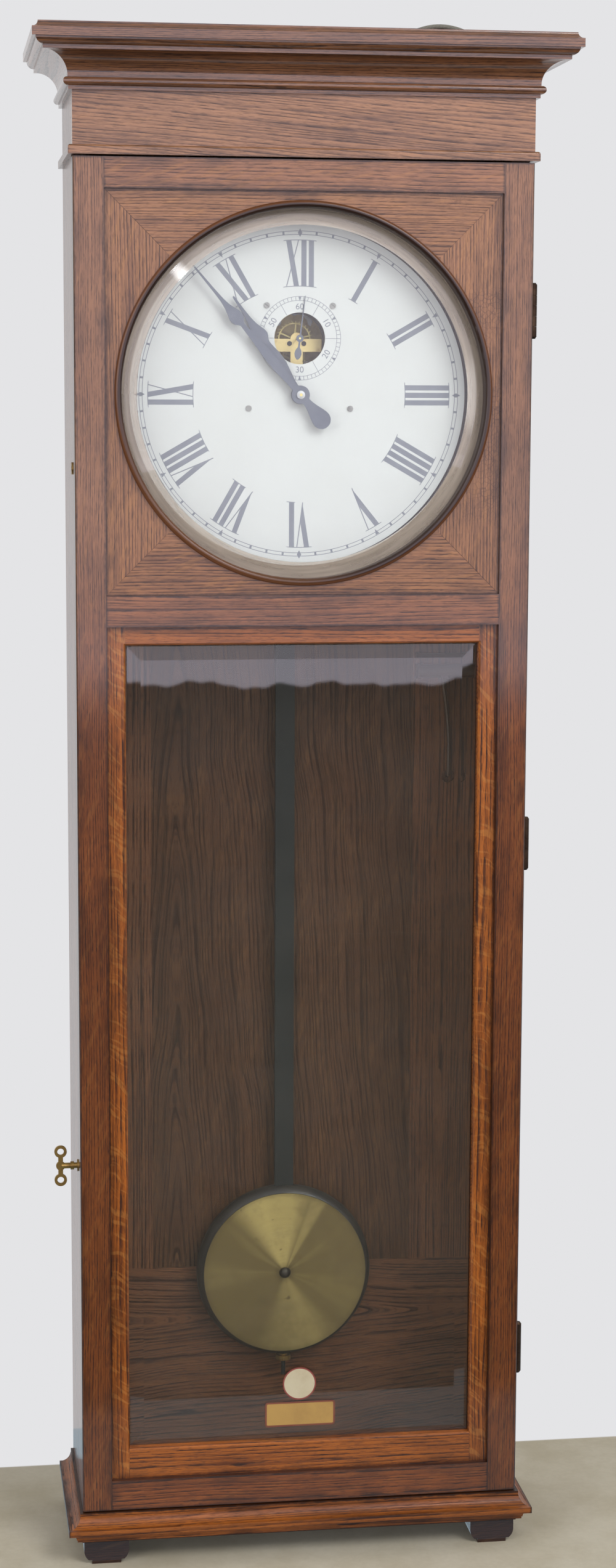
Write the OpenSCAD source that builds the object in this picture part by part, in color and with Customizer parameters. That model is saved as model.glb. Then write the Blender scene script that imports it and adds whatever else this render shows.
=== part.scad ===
// Electric regulator clock: an oak wall case with a glazed door, a round dial with a seconds
// dial, a seconds pendulum, an electrically wound movement and a cloth-covered supply cord.
// Units are millimetres. Z is up, the front looks towards -Y and the feet stand on Z = 0.
// Depths named d are measured from the front face of the door towards the wall.

/* [Case] */
// Width of the case and of the door
body_w = 452; // [440:1:480]
// Depth from the front of the door to the wall
depth = 177; // [176:1:190]
// Thickness of the case sides
side_t = 18; // [15:0.5:20]
// Height of the feet
foot_h = 24; // [18:1:32]
// Height of the base moulding
base_h = 32; // [28:1:38]
// How far the base moulding stands out from the case
base_reach = 15; // [12:0.5:18]
// Height of the frieze that shows below the crown
frieze_h = 60; // [52:1:70]
// How far the band below the frieze stands out
band_reach = 4.5; // [3:0.5:6]
// Height of the crown moulding
crown_h = 59.5; // [59.5:0.5:64]
// How far the crown stands out from the case
crown_reach = 39; // [38:0.5:42]

/* [Door] */
// Height of the door
door_h = 1360; // [1350:1:1375]
// Thickness of the door
door_t = 22; // [21:0.5:23]
// Width of the door stiles
stile_w = 30; // [27:0.5:33]
// Height of the top rail
rail_top_h = 29.5; // [27:0.5:32]
// Height of the middle rail
rail_mid_h = 30.5; // [28:0.5:33]
// Height of the bottom rail
rail_bot_h = 31; // [28:0.5:34]
// Least width of wood between the round opening and a stile
opening_edge = 16; // [14:0.5:19]
// Width of the strips at the sides of the lower glass
strip_w = 18.6; // [17:0.2:21]
// Height of the strip below the lower glass
strip_bot_h = 31.5; // [28:0.5:34]
// Width of the bevel on both glasses
bevel_w = 15.5; // [12:0.5:17]
// Thickness of both glasses
glass_t = 5; // [4.5:0.1:5.5]
// Height of a hinge leaf
hinge_h = 51; // [45:1:60]

/* [Dial] */
// How far the edge of the dial plate is inside the round opening
dial_gap = 13; // [10:0.5:17]
// Radius of the opening in the seconds dial
seconds_r = 25.4; // [24:0.2:27]
// Length of the minute hand, in percent of the radius of the dial
minute_share = 97.6; // [94:0.2:98.4]
// Length of the hour hand, in percent of the radius of the dial
hour_share = 70; // [67:0.5:73]
// Length of the seconds hand
second_len = 42; // [39:0.5:44]

/* [Pendulum] */
// Length from the suspension to the middle of the bob
pendulum_len = 1017; // [1005:0.5:1022]
// Radius of the bob
bob_r = 94; // [85:0.5:98]
// Radius of the brass face on the bob
bob_face_r = 87.4; // [80:0.2:90]
// Width of the pendulum rod
rod_w = 20; // [17:0.5:22]

/* [Latches and cord] */
// Radius of the collar round each latch arbor
collar_r = 6; // [5.5:0.1:6.5]
// Distance between the two rings of the key
key_span = 29.6; // [26:0.2:34]
// Diameter of the supply cord
cord_d = 4.5; // [4.4:0.1:4.8]

/* [Hidden] */
$fn = 96;

// Main planes
yf = -(depth + crown_reach) / 2 + crown_reach;
seam = door_t + 0.6;
half_w = body_w / 2;
inner_w = half_w - side_t;
z_case = foot_h + base_h;
z_door = z_case + 1;
z_door_top = z_door + door_h;
z_frieze = z_door_top + 1.5;
z_crown = z_frieze + frieze_h;
z_top = z_crown + crown_h;
z_floor = z_top - 26;
back_d = depth - 12;
panel_d = back_d + 1.5;

// Heights in the door
z_open_top = z_door_top - rail_top_h;
z_arbor = z_open_top - (half_w - stile_w);
z_surround = z_arbor - (half_w - stile_w);
z_mid = z_surround - rail_mid_h;
z_low = z_door + rail_bot_h;
open_w = half_w - stile_w;
sight_w = open_w - strip_w;
z_sight_top = z_mid - strip_w;
z_sight_low = z_low + strip_bot_h;

// Round opening, dial and hands
opening_r = open_w - opening_edge;
dial_r = opening_r - dial_gap;
minute_len = dial_r * minute_share / 100;
hour_len = dial_r * hour_share / 100;

// Depths of the dial and of the movement
dial_d = 44.8;
front_d = 70;
back_plate_d = 112;
escape_d = 84;

// Arbors of the movement, measured from the centre arbor
escape_z = 55.4;
verge_z = 84;
third_x = 10.94;
third_z = 30.5;
great_x = -20;
great_z = -44.3;
armature_x = 61;
motion_a = -40;
motion_x = 19.2 * cos(motion_a);
motion_z = 19.2 * sin(motion_a);
fit = 0.08;

// Pendulum
bob_t = 24;
bob_d = back_d - 5 - bob_t / 2;
rod_t = 6;
z_pivot = z_arbor + verge_z;
z_bob = z_pivot - pendulum_len;

// Hinges
pin_x = half_w + 5;
pin_d = door_t + 0.3;
knuckle_r = 4;
hinge_z = [z_case + 148, z_case + 683, z_case + 1219];

// Latches
latch_d = 36;
latch_z = [z_case + 357, z_case + 1063];

// Supply cord and its coil
cord_r = cord_d / 2;
cord_y = yf + 69;
coil_x = inner_w - 50;
coil_y = cord_y + 42;
coil_mid = cord_d * 5.6;
coil_pitch = cord_d + 0.6;
grommet_x = inner_w - 109;
plug_x = inner_w - 96;
plug_r = 14;

// Cord to the plug, measured from plug_x and from the top board
plug_route = [[30, 17], [20, 15.5], [9, plug_r], [0, plug_r]];

// Back board
back_joint = inner_w - 68.5;
z_rail = z_case + 203;
z_rail_top = z_floor - 112;

// Posts and pillars
dial_posts = [[-33, 87.5], [33, 87.5], [-51, -13.5], [51, -13.5]];
pillars = [[-43, 96], [43, 96], [-60, -97], [60, -97]];

// Direction from one arbor to another, in degrees
dir_third = atan2(third_z, third_x);
dir_escape = atan2(escape_z - third_z, -third_x);
dir_great = atan2(-great_z, -great_x);

// Screws of the hinges and fork of the crutch
hinge_rows = [-hinge_h * 0.35, 0, hinge_h * 0.35];
fork_d = bob_d - rod_t / 2;

// Spool on the back and the lead from it, the lead measured from the spool's middle in X and Z
spool_x = inner_w - 39;
spool_z = z_mid - 62;
lead_route = [[2, back_d - 7, -11], [2, back_d - 7, -17], [4, back_d - 6, -27],
    [6, back_d - 3.4, -41], [8, back_d - 2.6, -58], [9, back_d - 2.6, -78],
    [9, back_d - 2.6, -98], [9, back_d - 2.4, -106], [9, back_d - 0.5, -112],
    [9, back_d + 4, -113], [9, depth, -113]];

// Supply cord, measured from grommet_x, from cord_y and from the top board
cord_route = [[0, 1, -1], [0, 1, 5], [0, 1, 13], [2, 1, 21], [7, 1, 29], [14, 1, 34],
    [23, 1, 38], [34, 1, 41], [45, 1, 42], [56, 1, 41], [67, 1, 38], [77, 2, 33],
    [85, 4, 25], [90, 9, 15], [92, 16, 7], [92, 24, 3]];

// Coil on the top board: it starts outside at the bottom and winds in and out, a layer at a time
coil_turns = 3.0625;
coil_layers = 4;
coil_steps = coil_turns * coil_layers * 24;
coil_out = coil_mid + coil_pitch * coil_turns / 2;

// Basic helpers

module bar(x0, x1, d0, d1, z0, z1) {
    translate([x0, yf + d0, z0]) cube([x1 - x0, d1 - d0, z1 - z0]);
}

// A flat shape drawn in X and Z, from depth d0 to depth d1
module slab(d0, d1) {
    translate([0, yf + d1, 0]) rotate([90, 0, 0]) linear_extrude(d1 - d0) children();
}

// A round bar along the depth
module rod_y(r, d0, d1, x = 0, z = 0) {
    translate([x, yf + d1, z]) rotate([90, 0, 0]) cylinder(r = r, h = d1 - d0);
}

// A round bar along X
module rod_x(r, x0, x1, d, z) {
    translate([x0, yf + d, z]) rotate([0, 90, 0]) cylinder(r = r, h = x1 - x0);
}

// A turned shape round an axis along the depth, its profile height pointing to the front
module turned(x, d, z) {
    translate([x, yf + d, z]) rotate([90, 0, 0]) rotate_extrude() children();
}

// A profile drawn with -x pointing outwards, run round the front and both sides. It fills
// the height h above z0 as far in as the given distance.
module run_round(z0, h, reach, inside) {
    difference() {
        intersection() {
            translate([-half_w - reach - 1, yf, 0]) rotate([90, 0, 90])
                linear_extrude(body_w + 2 * reach + 2) union() {
                    children();
                    translate([0, z0]) square([depth, h]);
                }
            translate([0, yf + depth, 0]) rotate([90, 0, 0])
                linear_extrude(depth + reach + 1) union() {
                    translate([-half_w, 0]) children();
                    translate([half_w, 0]) mirror([1, 0]) children();
                    translate([-half_w, z0]) square([body_w, h]);
                }
        }
        translate([-half_w + inside, yf + inside, z0 - 1])
            cube([body_w - 2 * inside, depth, h + 2]);
    }
}

// Case

module side_board() {
    difference() {
        bar(-half_w, -inner_w, seam, depth, z_case, z_top - 3);
        // groove for the back
        bar(-inner_w - 6, -inner_w + 1, back_d, depth + 1, z_case + 12, z_top);
    }
}

module case_side_left() color([0.42, 0.25, 0.13]) {
    difference() {
        side_board();
        for (z = latch_z) rod_x(5 + fit, -half_w - 1, -inner_w + 1, latch_d, z);
    }
}

module case_side_right() color([0.42, 0.25, 0.13]) {
    difference() {
        mirror([1, 0, 0]) side_board();
        for (z = hinge_z) {
            bar(half_w - 18, half_w + 1, seam - 1, seam + 1.1, z - hinge_h / 2, z + hinge_h / 2);
            for (k = hinge_rows) rod_y(1.25, seam, seam + 16, half_w - 9, z + k);
        }
    }
}

module case_top_board() color([0.40, 0.24, 0.12]) {
    difference() {
        bar(-inner_w, inner_w, seam, back_d, z_floor - 15, z_floor);
        translate([grommet_x, cord_y + 1, z_floor - 20]) cylinder(r = 5 + fit, h = 30);
    }
}

module case_bottom_board() color([0.40, 0.24, 0.12])
    bar(-inner_w, inner_w, seam, back_d, z_case, z_case + side_t);

module back_frame() color([0.24, 0.16, 0.11]) {
    difference() {
        bar(-inner_w - 6, inner_w + 6, back_d, depth, z_case + 12, z_top - 3);
        bar(-back_joint, back_joint, back_d - 1, depth + 1, z_rail, z_rail_top);
        bar(-back_joint - 6, back_joint + 6, panel_d, panel_d + 6, z_rail - 6, z_rail_top + 6);
        for (x = [-100, 100]) rod_y(3.2, back_d - 1, depth + 1, x, z_rail_top + 40);
        rod_y(2.2, back_d - 1, depth + 1, spool_x + 9, spool_z - 113);
        rod_y(7, back_d - 1, back_d + 5, spool_x + 9, spool_z - 113);
    }
}

module back_panel() color([0.26, 0.17, 0.11])
    bar(-back_joint - 6, back_joint + 6, panel_d, panel_d + 6, z_rail - 6, z_rail_top + 6);

module frieze_board() color([0.45, 0.30, 0.18]) {
    union() {
        bar(-half_w, half_w, 0, seam, z_frieze, z_top - 3);
        run_round(z_frieze, 9, band_reach, 0) difference() {
            translate([-band_reach, z_frieze]) square([band_reach, 9]);
            difference() {
                translate([-band_reach - 1, z_frieze + 6.5]) square([3.5, 3.5]);
                translate([-band_reach + 2.5, z_frieze + 6.5]) circle(2.5);
            }
        }
    }
}

// Crown, from the frieze up: fillet, bead, cove, fillet, ovolo, fascia and top fillet

module crown_profile() {
    translate([0, z_crown]) union() {
        translate([-3.7, 0]) square([3.7, crown_h]);
        translate([-4.7, 7.6]) circle(3.9);
        translate([-4.3, 7.6]) square([4.3, 6]);
        difference() {
            translate([-26, 13]) square([26, 21.9]);
            translate([-26, 13]) circle(21.7);
        }
        translate([-28.6, 34.6]) square([28.6, crown_h - 34.6]);
        intersection() {
            translate([-28.6, 45.2]) circle(6.8);
            translate([-36, 38]) square([8, 7.2]);
        }
        difference() {
            translate([-crown_reach, 45.2]) square([crown_reach, crown_h - 45.2]);
            translate([-crown_reach - 0.2, crown_h]) circle(6);
        }
    }
}

module crown_moulding() color([0.36, 0.22, 0.13])
    run_round(z_crown, crown_h, crown_reach, 0) crown_profile();

// Base moulding, from the bottom up: fillet, hollow, nose, hollow and top fillet

module base_profile() {
    translate([0, foot_h]) union() {
        translate([-1, 0]) square([46, base_h]);
        translate([-6, 3]) square([20, 10]);
        translate([-base_reach, 12]) square([30, 6.3]);
        translate([-2.8, 18]) square([20, base_h - 18]);
        difference() {
            translate([-base_reach + 1, 18]) square([base_reach, 9.6]);
            translate([-base_reach + 1, 29]) circle(11);
        }
        difference() {
            translate([-base_reach + 1, 5.5]) square([base_reach, 7]);
            translate([-base_reach + 1, 5.4]) circle(7);
        }
    }
}

module base_moulding() color([0.45, 0.27, 0.13])
    run_round(foot_h, base_h, base_reach, 45) base_profile();

module foot_profile() {
    union() {
        translate([-23, foot_h - 10]) square([46, 10]);
        for (s = [-1, 1]) intersection() {
            translate([s * 10, foot_h - 10]) circle(13);
            translate([-30, 4]) square([60, foot_h - 4]);
        }
        translate([-10, 4]) square([20, foot_h - 4]);
        translate([-15, 0]) square([30, 6]);
    }
}

module feet() color([0.22, 0.13, 0.09]) {
    for (s = [-1, 1]) for (d = [[1, 41], [depth - 47, depth - 7]])
        translate([s * (half_w - 24), 0, 0]) slab(d[0], d[1]) foot_profile();
}

// Door

// An upright of the door with its outer front edge eased
module stile_board() {
    translate([0, yf, z_door]) linear_extrude(z_door_top - z_door)
        polygon([[-half_w, 1.2], [-half_w + 1.2, 0], [-open_w, 0],
            [-open_w, door_t], [-half_w, door_t]]);
}

module door_stile_left() color([0.44, 0.26, 0.14]) stile_board();

module door_stile_right() color([0.44, 0.26, 0.14]) {
    difference() {
        mirror([1, 0, 0]) stile_board();
        for (z = hinge_z) {
            bar(half_w - 18, half_w + 1, door_t - 1, door_t + 1, z - hinge_h / 2, z + hinge_h / 2);
            for (k = hinge_rows) rod_y(1.25, door_t - 15, door_t, half_w - 9, z + k);
        }
    }
}

module door_rail_top() color([0.46, 0.30, 0.17])
    bar(-open_w, open_w, 0, door_t, z_open_top, z_door_top);

module door_rail_middle() color([0.46, 0.29, 0.16])
    bar(-open_w, open_w, 0, door_t, z_mid, z_surround);

module door_rail_bottom() color([0.48, 0.28, 0.13])
    bar(-open_w, open_w, 0, door_t, z_door, z_low);

// Four mitred boards round the dial, with a rebate for the glass behind them
module dial_surround() color([0.50, 0.33, 0.19]) {
    difference() {
        bar(-open_w, open_w, 4, 20, z_surround, z_open_top);
        rod_y(opening_r + 4 + fit, 3, 21, 0, z_arbor);
        rod_y(opening_r + 10, 14.5, 21, 0, z_arbor);
        for (a = [0:90:270]) translate([0, yf + 4, z_arbor]) rotate([0, a + 45, 0])
            translate([opening_r + 14, -0.4, -0.25]) cube([100, 0.9, 0.5]);
    }
}

module dial_ring() color([0.35, 0.21, 0.13]) {
    turned(0, 14.5, z_arbor) difference() {
        union() {
            translate([opening_r, 0]) square([4, 12]);
            translate([opening_r, 10.5]) square([7, 2]);
            translate([opening_r + 3.5, 12]) circle(3.5);
        }
        translate([opening_r + 4, 8]) square([4, 2.5]);
    }
}

module dial_glass() color([0.82, 0.86, 0.86, 0.35]) {
    turned(0, 12 + glass_t, z_arbor) polygon([
        [0, 0], [opening_r + 9.6, 0], [opening_r + 9.6, glass_t - 2.5],
        [opening_r - 0.5, glass_t - 2.5], [opening_r - 0.5 - bevel_w, glass_t], [0, glass_t]]);
}

// The sight opening with its eased front edge, as a frustum that is cut out of the frame
module sight_cut(ease) {
    mid = (z_sight_low + z_sight_top) / 2;
    half = (z_sight_top - z_sight_low) / 2;
    intersection() {
        translate([0, yf + 6, z_sight_low - 10]) linear_extrude(2 * half + 20)
            polygon([[-sight_w - ease - 1, -1], [sight_w + ease + 1, -1], [sight_w, ease],
                [sight_w, 20], [-sight_w, 20], [-sight_w, ease]]);
        translate([-sight_w - 10, yf + 6, mid]) rotate([90, 0, 90])
            linear_extrude(2 * sight_w + 20)
            polygon([[-1, -half - ease - 1], [-1, half + ease + 1], [ease, half],
                [20, half], [20, -half], [ease, -half]]);
    }
}

module lower_glass_frame() color([0.55, 0.33, 0.14]) {
    difference() {
        bar(-open_w, open_w, 6, door_t, z_low, z_mid);
        sight_cut(1.7);
        bar(-open_w + 6, open_w - 6, 15.5, door_t + 1, z_low + 6, z_mid - 6);
    }
}

module lower_glass() color([0.80, 0.85, 0.85, 0.3]) {
    gx = open_w - 6.3;
    z0 = z_low + 6.3;
    z1 = z_mid - 6.3;
    edge = bevel_w + strip_w - 6.3;
    cut = strip_w - 6.2;
    difference() {
        bar(-gx, gx, 13, 13 + glass_t, z0, z1);
        for (s = [0, 1]) mirror([s, 0, 0]) translate([-gx, yf + 13, z0 - 1])
            linear_extrude(z1 - z0 + 2)
            polygon([[-1, -1], [edge, -1], [edge, 0], [cut, 2.5], [-1, 2.5]]);
        translate([-gx - 1, yf + 13, z0 + strip_bot_h - strip_w]) rotate([90, 0, 90])
            linear_extrude(2 * gx + 2)
            polygon([[-1, -40], [-1, edge], [0, edge], [2.5, cut], [2.5, -40]]);
        translate([-gx - 1, yf + 13, z1]) rotate([90, 0, 90]) linear_extrude(2 * gx + 2)
            polygon([[-1, 1], [-1, -edge], [0, -edge], [2.5, -cut], [2.5, 1]]);
    }
}

module glass_stops() color([0.36, 0.22, 0.12]) {
    turned(0, 20, z_arbor) translate([opening_r + 2, 0]) square([7.6, 8 - glass_t]);
    difference() {
        bar(-open_w + 6.3, open_w - 6.3, 13 + glass_t, door_t, z_low + 6.3, z_mid - 6.3);
        bar(-sight_w + 1, sight_w - 1, 12, door_t + 1, z_sight_low - 1, z_sight_top - 1);
    }
}

// Hinges: five knuckles each, two on the door and three on the case

module hinge_knuckles(z, first) {
    step = hinge_h / 5;
    for (k = [first:2:4])
        translate([pin_x, yf + pin_d, z - hinge_h / 2 + k * step + 0.1])
        cylinder(r = knuckle_r, h = step - 0.2);
}

module hinge_gaps(z, first) {
    step = hinge_h / 5;
    for (k = [first:2:4])
        translate([pin_x, yf + pin_d, z - hinge_h / 2 + k * step - 0.1])
        cylinder(r = knuckle_r + 0.5, h = step + 0.2);
}

module screw_holes(z, d0, d1) {
    for (k = hinge_rows) {
        rod_y(1.45, d0 - 1, d1 + 1, half_w - 9, z + k);
    }
}

module hinge_leaves_case() color([0.20, 0.15, 0.10]) {
    for (z = hinge_z) {
        difference() {
            union() {
                bar(half_w - 18, pin_x, seam - 0.1, seam + 1.1, z - hinge_h / 2, z + hinge_h / 2);
                hinge_knuckles(z, 0);
            }
            hinge_gaps(z, 1);
            screw_holes(z, seam - 0.1, seam + 1.1);
            translate([pin_x, yf + pin_d, z - hinge_h]) cylinder(r = 1.6, h = 2 * hinge_h);
        }
        // the pin with its two button ends
        translate([pin_x, yf + pin_d, z - hinge_h / 2]) cylinder(r = 1.6, h = hinge_h);
        for (s = [-1, 1]) translate([pin_x, yf + pin_d, z + s * (hinge_h / 2 + 0.9)])
            cylinder(r1 = s < 0 ? 2.6 : 4, r2 = s < 0 ? 4 : 2.6, h = 2, center = true);
    }
}

module hinge_leaves_door() color([0.20, 0.15, 0.10]) {
    for (z = hinge_z) difference() {
        union() {
            bar(half_w - 18, pin_x, door_t - 1, door_t + 0.2, z - hinge_h / 2, z + hinge_h / 2);
            hinge_knuckles(z, 1);
        }
        hinge_gaps(z, 0);
        screw_holes(z, door_t - 1, door_t + 0.2);
        translate([pin_x, yf + pin_d, z - hinge_h]) cylinder(r = 1.65, h = 2 * hinge_h);
    }
}

module hinge_screws_case() color([0.20, 0.15, 0.10])
    for (z = hinge_z) for (k = hinge_rows)
        rod_y(1.25, seam + 0.2, seam + 15, half_w - 9, z + k);

module hinge_screws_door() color([0.20, 0.15, 0.10])
    for (z = hinge_z) for (k = hinge_rows)
        rod_y(1.25, door_t - 14, door_t, half_w - 9, z + k);

// Latches on the left side, turned from outside by the key

module latch_collars() color([0.62, 0.48, 0.22]) {
    for (z = latch_z) difference() {
        union() {
            rod_x(collar_r, -half_w - 1.2, -half_w, latch_d, z);
            rod_x(5, -half_w - 0.5, -inner_w, latch_d, z);
        }
        rod_x(3 + fit, -half_w - 2, -inner_w + 1, latch_d, z);
    }
}

// Arbor with a square end, and the cam that pulls the strike
module latch_cam(z) {
    rod_x(3, -half_w + 6, -inner_w + 4.2, latch_d, z);
    translate([-half_w + 1, yf + latch_d - 1.5, z - 1.5]) cube([5.5, 3, 3]);
    translate([-inner_w + 0.6, yf + latch_d, z]) rotate([0, 90, 0]) cylinder(r = 5, h = 2.8);
    translate([-inner_w + 0.6, yf + latch_d - 11.6, z - 3.4]) cube([2.8, 11.6, 6.8]);
}

module latch_upper() color([0.55, 0.42, 0.20]) latch_cam(latch_z[1]);

module latch_lower() color([0.55, 0.42, 0.20]) latch_cam(latch_z[0]);

module latch_strikes() color([0.55, 0.42, 0.20]) {
    for (z = latch_z) {
        bar(-inner_w + 1.2, -inner_w + 10, door_t, door_t + 1.5, z - 8, z + 20);
        bar(-inner_w + 4.4, -inner_w + 6.4, door_t + 0.5, latch_d + 8, z + 5, z + 13);
        rod_x(2, -inner_w + 1.6, -inner_w + 5, latch_d + 5.8, z + 9);
    }
}

// Key with a bow of two rings
module latch_key() color([0.50, 0.47, 0.42]) {
    z = latch_z[0];
    key_x = -half_w - 18;
    difference() {
        union() {
            rod_x(2.9, key_x + 1, -half_w + 5.8, latch_d, z);
            rod_x(4.2, -half_w - 8, -half_w - 4.5, latch_d, z);
            slab(latch_d - 1.3, latch_d + 1.3) difference() {
                union() {
                    for (s = [-1, 1]) translate([key_x, z + s * key_span / 2]) circle(6.3);
                    translate([key_x - 2.4, z - key_span / 2]) square([4.8, key_span]);
                    translate([key_x, z]) circle(4.6);
                }
                for (s = [-1, 1]) translate([key_x, z + s * key_span / 2]) circle(3.4);
            }
        }
        translate([-half_w + 0.7, yf + latch_d - 1.6, z - 1.6]) cube([8, 3.2, 3.2]);
    }
}

// Dial and hands

module dial_plate() color([0.90, 0.92, 0.91]) {
    difference() {
        rod_y(dial_r, dial_d, dial_d + 1.5, 0, z_arbor);
        rod_y(seconds_r, dial_d - 1, dial_d + 3, 0, z_arbor + escape_z);
        rod_y(4.6, dial_d - 1, dial_d + 3, 0, z_arbor);
        for (p = dial_posts) rod_y(1.5, dial_d - 1, dial_d + 3, p[0], z_arbor + p[1]);
    }
}

module dial_screws() color([0.45, 0.45, 0.44]) {
    for (p = dial_posts) difference() {
        union() {
            rod_y(1.4, dial_d - 0.2, dial_d + 8, p[0], z_arbor + p[1]);
            rod_y(3, dial_d - 1.1, dial_d, p[0], z_arbor + p[1]);
        }
        translate([p[0], yf + dial_d - 1, z_arbor + p[1]]) rotate([0, 35, 0])
            cube([7, 1, 0.7], center = true);
    }
}

// Outline of a hand from a list of [distance, half width], closed on both sides
module hand_outline(rows) {
    n = len(rows);
    polygon([for (i = [0:2 * n - 1])
        i < n ? [rows[i][1], rows[i][0]] : [-rows[2 * n - 1 - i][1], rows[2 * n - 1 - i][0]]]);
}

module hour_hand() color([0.20, 0.22, 0.28]) {
    translate([0, yf + 40.7, z_arbor]) rotate([0, -35, 0]) rotate([90, 0, 0]) difference() {
        union() {
            linear_extrude(1.2) union() {
                circle(9.2);
                hand_outline([[6, 3.6], [14, 3.8], [25, 5.5], [33, 6.8], [40, 7.2], [47, 6.6],
                    [54, 5.2], [60, 4.5], [63, 5.1], [66, 6.9], [69, 7.8], [72, 7.6], [76, 6.2],
                    [82, 4.1], [90, 2.6], [100, 1.7], [hour_len * 0.99, 1], [hour_len, 0.4]]);
            }
            translate([0, 0, -2.3]) cylinder(r = 4.2, h = 2.4);
        }
        translate([0, 0, -3]) cylinder(r = 3.62, h = 6);
    }
}

module minute_hand() color([0.20, 0.22, 0.28]) {
    translate([0, yf + 36.2, z_arbor]) rotate([0, -40.5, 0]) rotate([90, 0, 0])
        linear_extrude(1.2) difference() {
            union() {
                circle(9);
                hand_outline([[6, 3.2], [20, 3.6], [34, 4.8], [45, 5], [58, 4.2], [72, 3],
                    [90, 2.1], [92, 3.6], [94.5, 6], [98, 7], [102, 6.6], [107, 4.9],
                    [113, 3], [121, 1.9], [132, 1.4], [minute_len - 1, 0.8], [minute_len, 0.3]]);
                rotate([0, 0, 180]) hand_outline([[6, 3.8], [12, 4.2], [18, 5.6], [24, 7.6],
                    [29, 9], [33, 9.3], [37, 8], [40, 5], [41.2, 2]]);
            }
            circle(2.52);
        }
}

module second_hand() color([0.20, 0.22, 0.28]) {
    translate([0, yf + 43.4, z_arbor + escape_z]) rotate([0, 7.2, 0]) rotate([90, 0, 0])
        linear_extrude(0.6) difference() {
            union() {
                circle(3.7);
                hand_outline([[2, 0.9], [10, 0.7], [second_len, 0.3]]);
                rotate([0, 0, 180]) hand_outline([[2, 0.8], [9, 1], [11.5, 2.8], [15, 3.6],
                    [18.5, 2.8], [21, 0.8]]);
            }
            circle(1.02);
        }
}

module hand_nut() color([0.75, 0.75, 0.72]) {
    difference() {
        union() {
            rod_y(4, 33.2, 35, 0, z_arbor);
            turned(0, 33.2, z_arbor) intersection() {
                translate([0, -3.6]) circle(5.1);
                square([4, 2]);
            }
        }
        rod_y(1.52, 30, 36, 0, z_arbor);
    }
}

// Movement

// A toothed outline: n teeth, module m, slender teeth that clear their mate
module toothed(n, m, add, ded, root, tip, phase) {
    a = 360 / n;
    r0 = n * m / 2 - ded * m;
    r1 = n * m / 2 + add * m;
    polygon([for (i = [0:4 * n - 1])
        let (k = floor(i / 4), j = i % 4, r = (j == 0 || j == 3) ? r0 : r1,
            w = (j == 0 ? -root : j == 1 ? -tip : j == 2 ? tip : root))
        [r * cos(phase + a * (k + w)), r * sin(phase + a * (k + w))]]);
}

module wheel_outline(n, m, phase, rim, hub, spokes, w) {
    difference() {
        toothed(n, m, 0.9, 1.2, 0.24, 0.1, phase);
        difference() {
            circle(n * m / 2 - rim);
            circle(hub);
            for (s = [0:spokes - 1]) rotate([0, 0, s * 360 / spokes + 13])
                translate([0, -w / 2]) square([n * m / 2, w]);
        }
    }
}

module pinion_outline(n, m, phase) toothed(n, m, 0.8, 1.15, 0.2, 0.09, phase);

module plate_outline() {
    polygon([[-70, -104], [70, -104], [52, 104], [-52, 104]]);
}

module at(x, z) translate([x, z_arbor + z]) children();

module movement_front_plate() color([0.55, 0.45, 0.22]) {
    slab(front_d, front_d + 3) difference() {
        translate([0, z_arbor]) plate_outline();
        difference() {
            at(0, escape_z - 1.8) circle(26.8);
            at(third_x, third_z) circle(3.6);
        }
        at(0, 0) circle(2.5 + fit);
        at(third_x, third_z) circle(1.2 + fit);
        at(great_x, great_z) circle(1.8 + fit);
        at(0, verge_z) circle(1.2 + fit);
        at(armature_x, -52) circle(1.5 + fit);
    }
}

module movement_back_plate() color([0.30, 0.24, 0.13]) {
    slab(back_plate_d, back_plate_d + 3) difference() {
        translate([0, z_arbor]) plate_outline();
        at(0, 0) circle(2 + fit);
        at(0, escape_z) circle(1 + fit);
        at(third_x, third_z) circle(1.2 + fit);
        at(great_x, great_z) circle(1.8 + fit);
        at(0, verge_z) circle(2 + fit);
        at(armature_x, -52) circle(1.5 + fit);
    }
}

module movement_pillars() color([0.62, 0.50, 0.25]) {
    for (p = pillars) rod_y(4, front_d + 3, back_plate_d, p[0], z_arbor + p[1]);
    for (p = dial_posts) difference() {
        rod_y(3.6, dial_d + 1.5, front_d, p[0], z_arbor + p[1]);
        rod_y(1.45, dial_d, dial_d + 8.4, p[0], z_arbor + p[1]);
    }
    rod_y(2.6, 67.3, front_d, motion_x, z_arbor + motion_z);
    rod_y(1.2, 56, 67.3, motion_x, z_arbor + motion_z);
}

// Cross-shaped brass cock that carries the front pivot of the escape wheel
module escapement_cock() color([0.72, 0.58, 0.28]) {
    slab(67, front_d) difference() {
        union() {
            at(-25, escape_z - 12.7) square([50, 12.7]);
            at(-6.2, escape_z - 46) square([12.4, 46]);
            at(0, escape_z) circle(6.2);
        }
        at(0, escape_z) circle(1 + fit);
    }
    for (p = [[-7.2, -4.6], [7.2, -4.6], [0, -34], [0, -41]]) difference() {
        rod_y(2.3, 65.8, 67, p[0], z_arbor + escape_z + p[1]);
        translate([p[0], yf + 66, z_arbor + escape_z + p[1]]) rotate([0, 40, 0])
            cube([6, 1, 0.6], center = true);
    }
}

// Centre arbor with its wheel, the pinion driven by the winding wheel and the cannon pinion
module centre_wheel() color([0.70, 0.57, 0.28]) {
    rod_y(1.5, 32.6, 35, 0, z_arbor);
    rod_y(2.5, 35, 62, 0, z_arbor);
    slab(62, 67.4) at(0, 0) pinion_outline(12, 0.8, motion_a);
    rod_y(2.5, 67.4, 88, 0, z_arbor);
    slab(92, 94) at(0, 0) wheel_outline(64, 0.9, dir_third, 3, 6, 5, 2.4);
    rod_y(4.6, 88, 98, 0, z_arbor);
    slab(98, 105) at(0, 0) pinion_outline(12, 0.9, dir_great + 15);
    rod_y(2, 105, back_plate_d + 3, 0, z_arbor);
}

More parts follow.
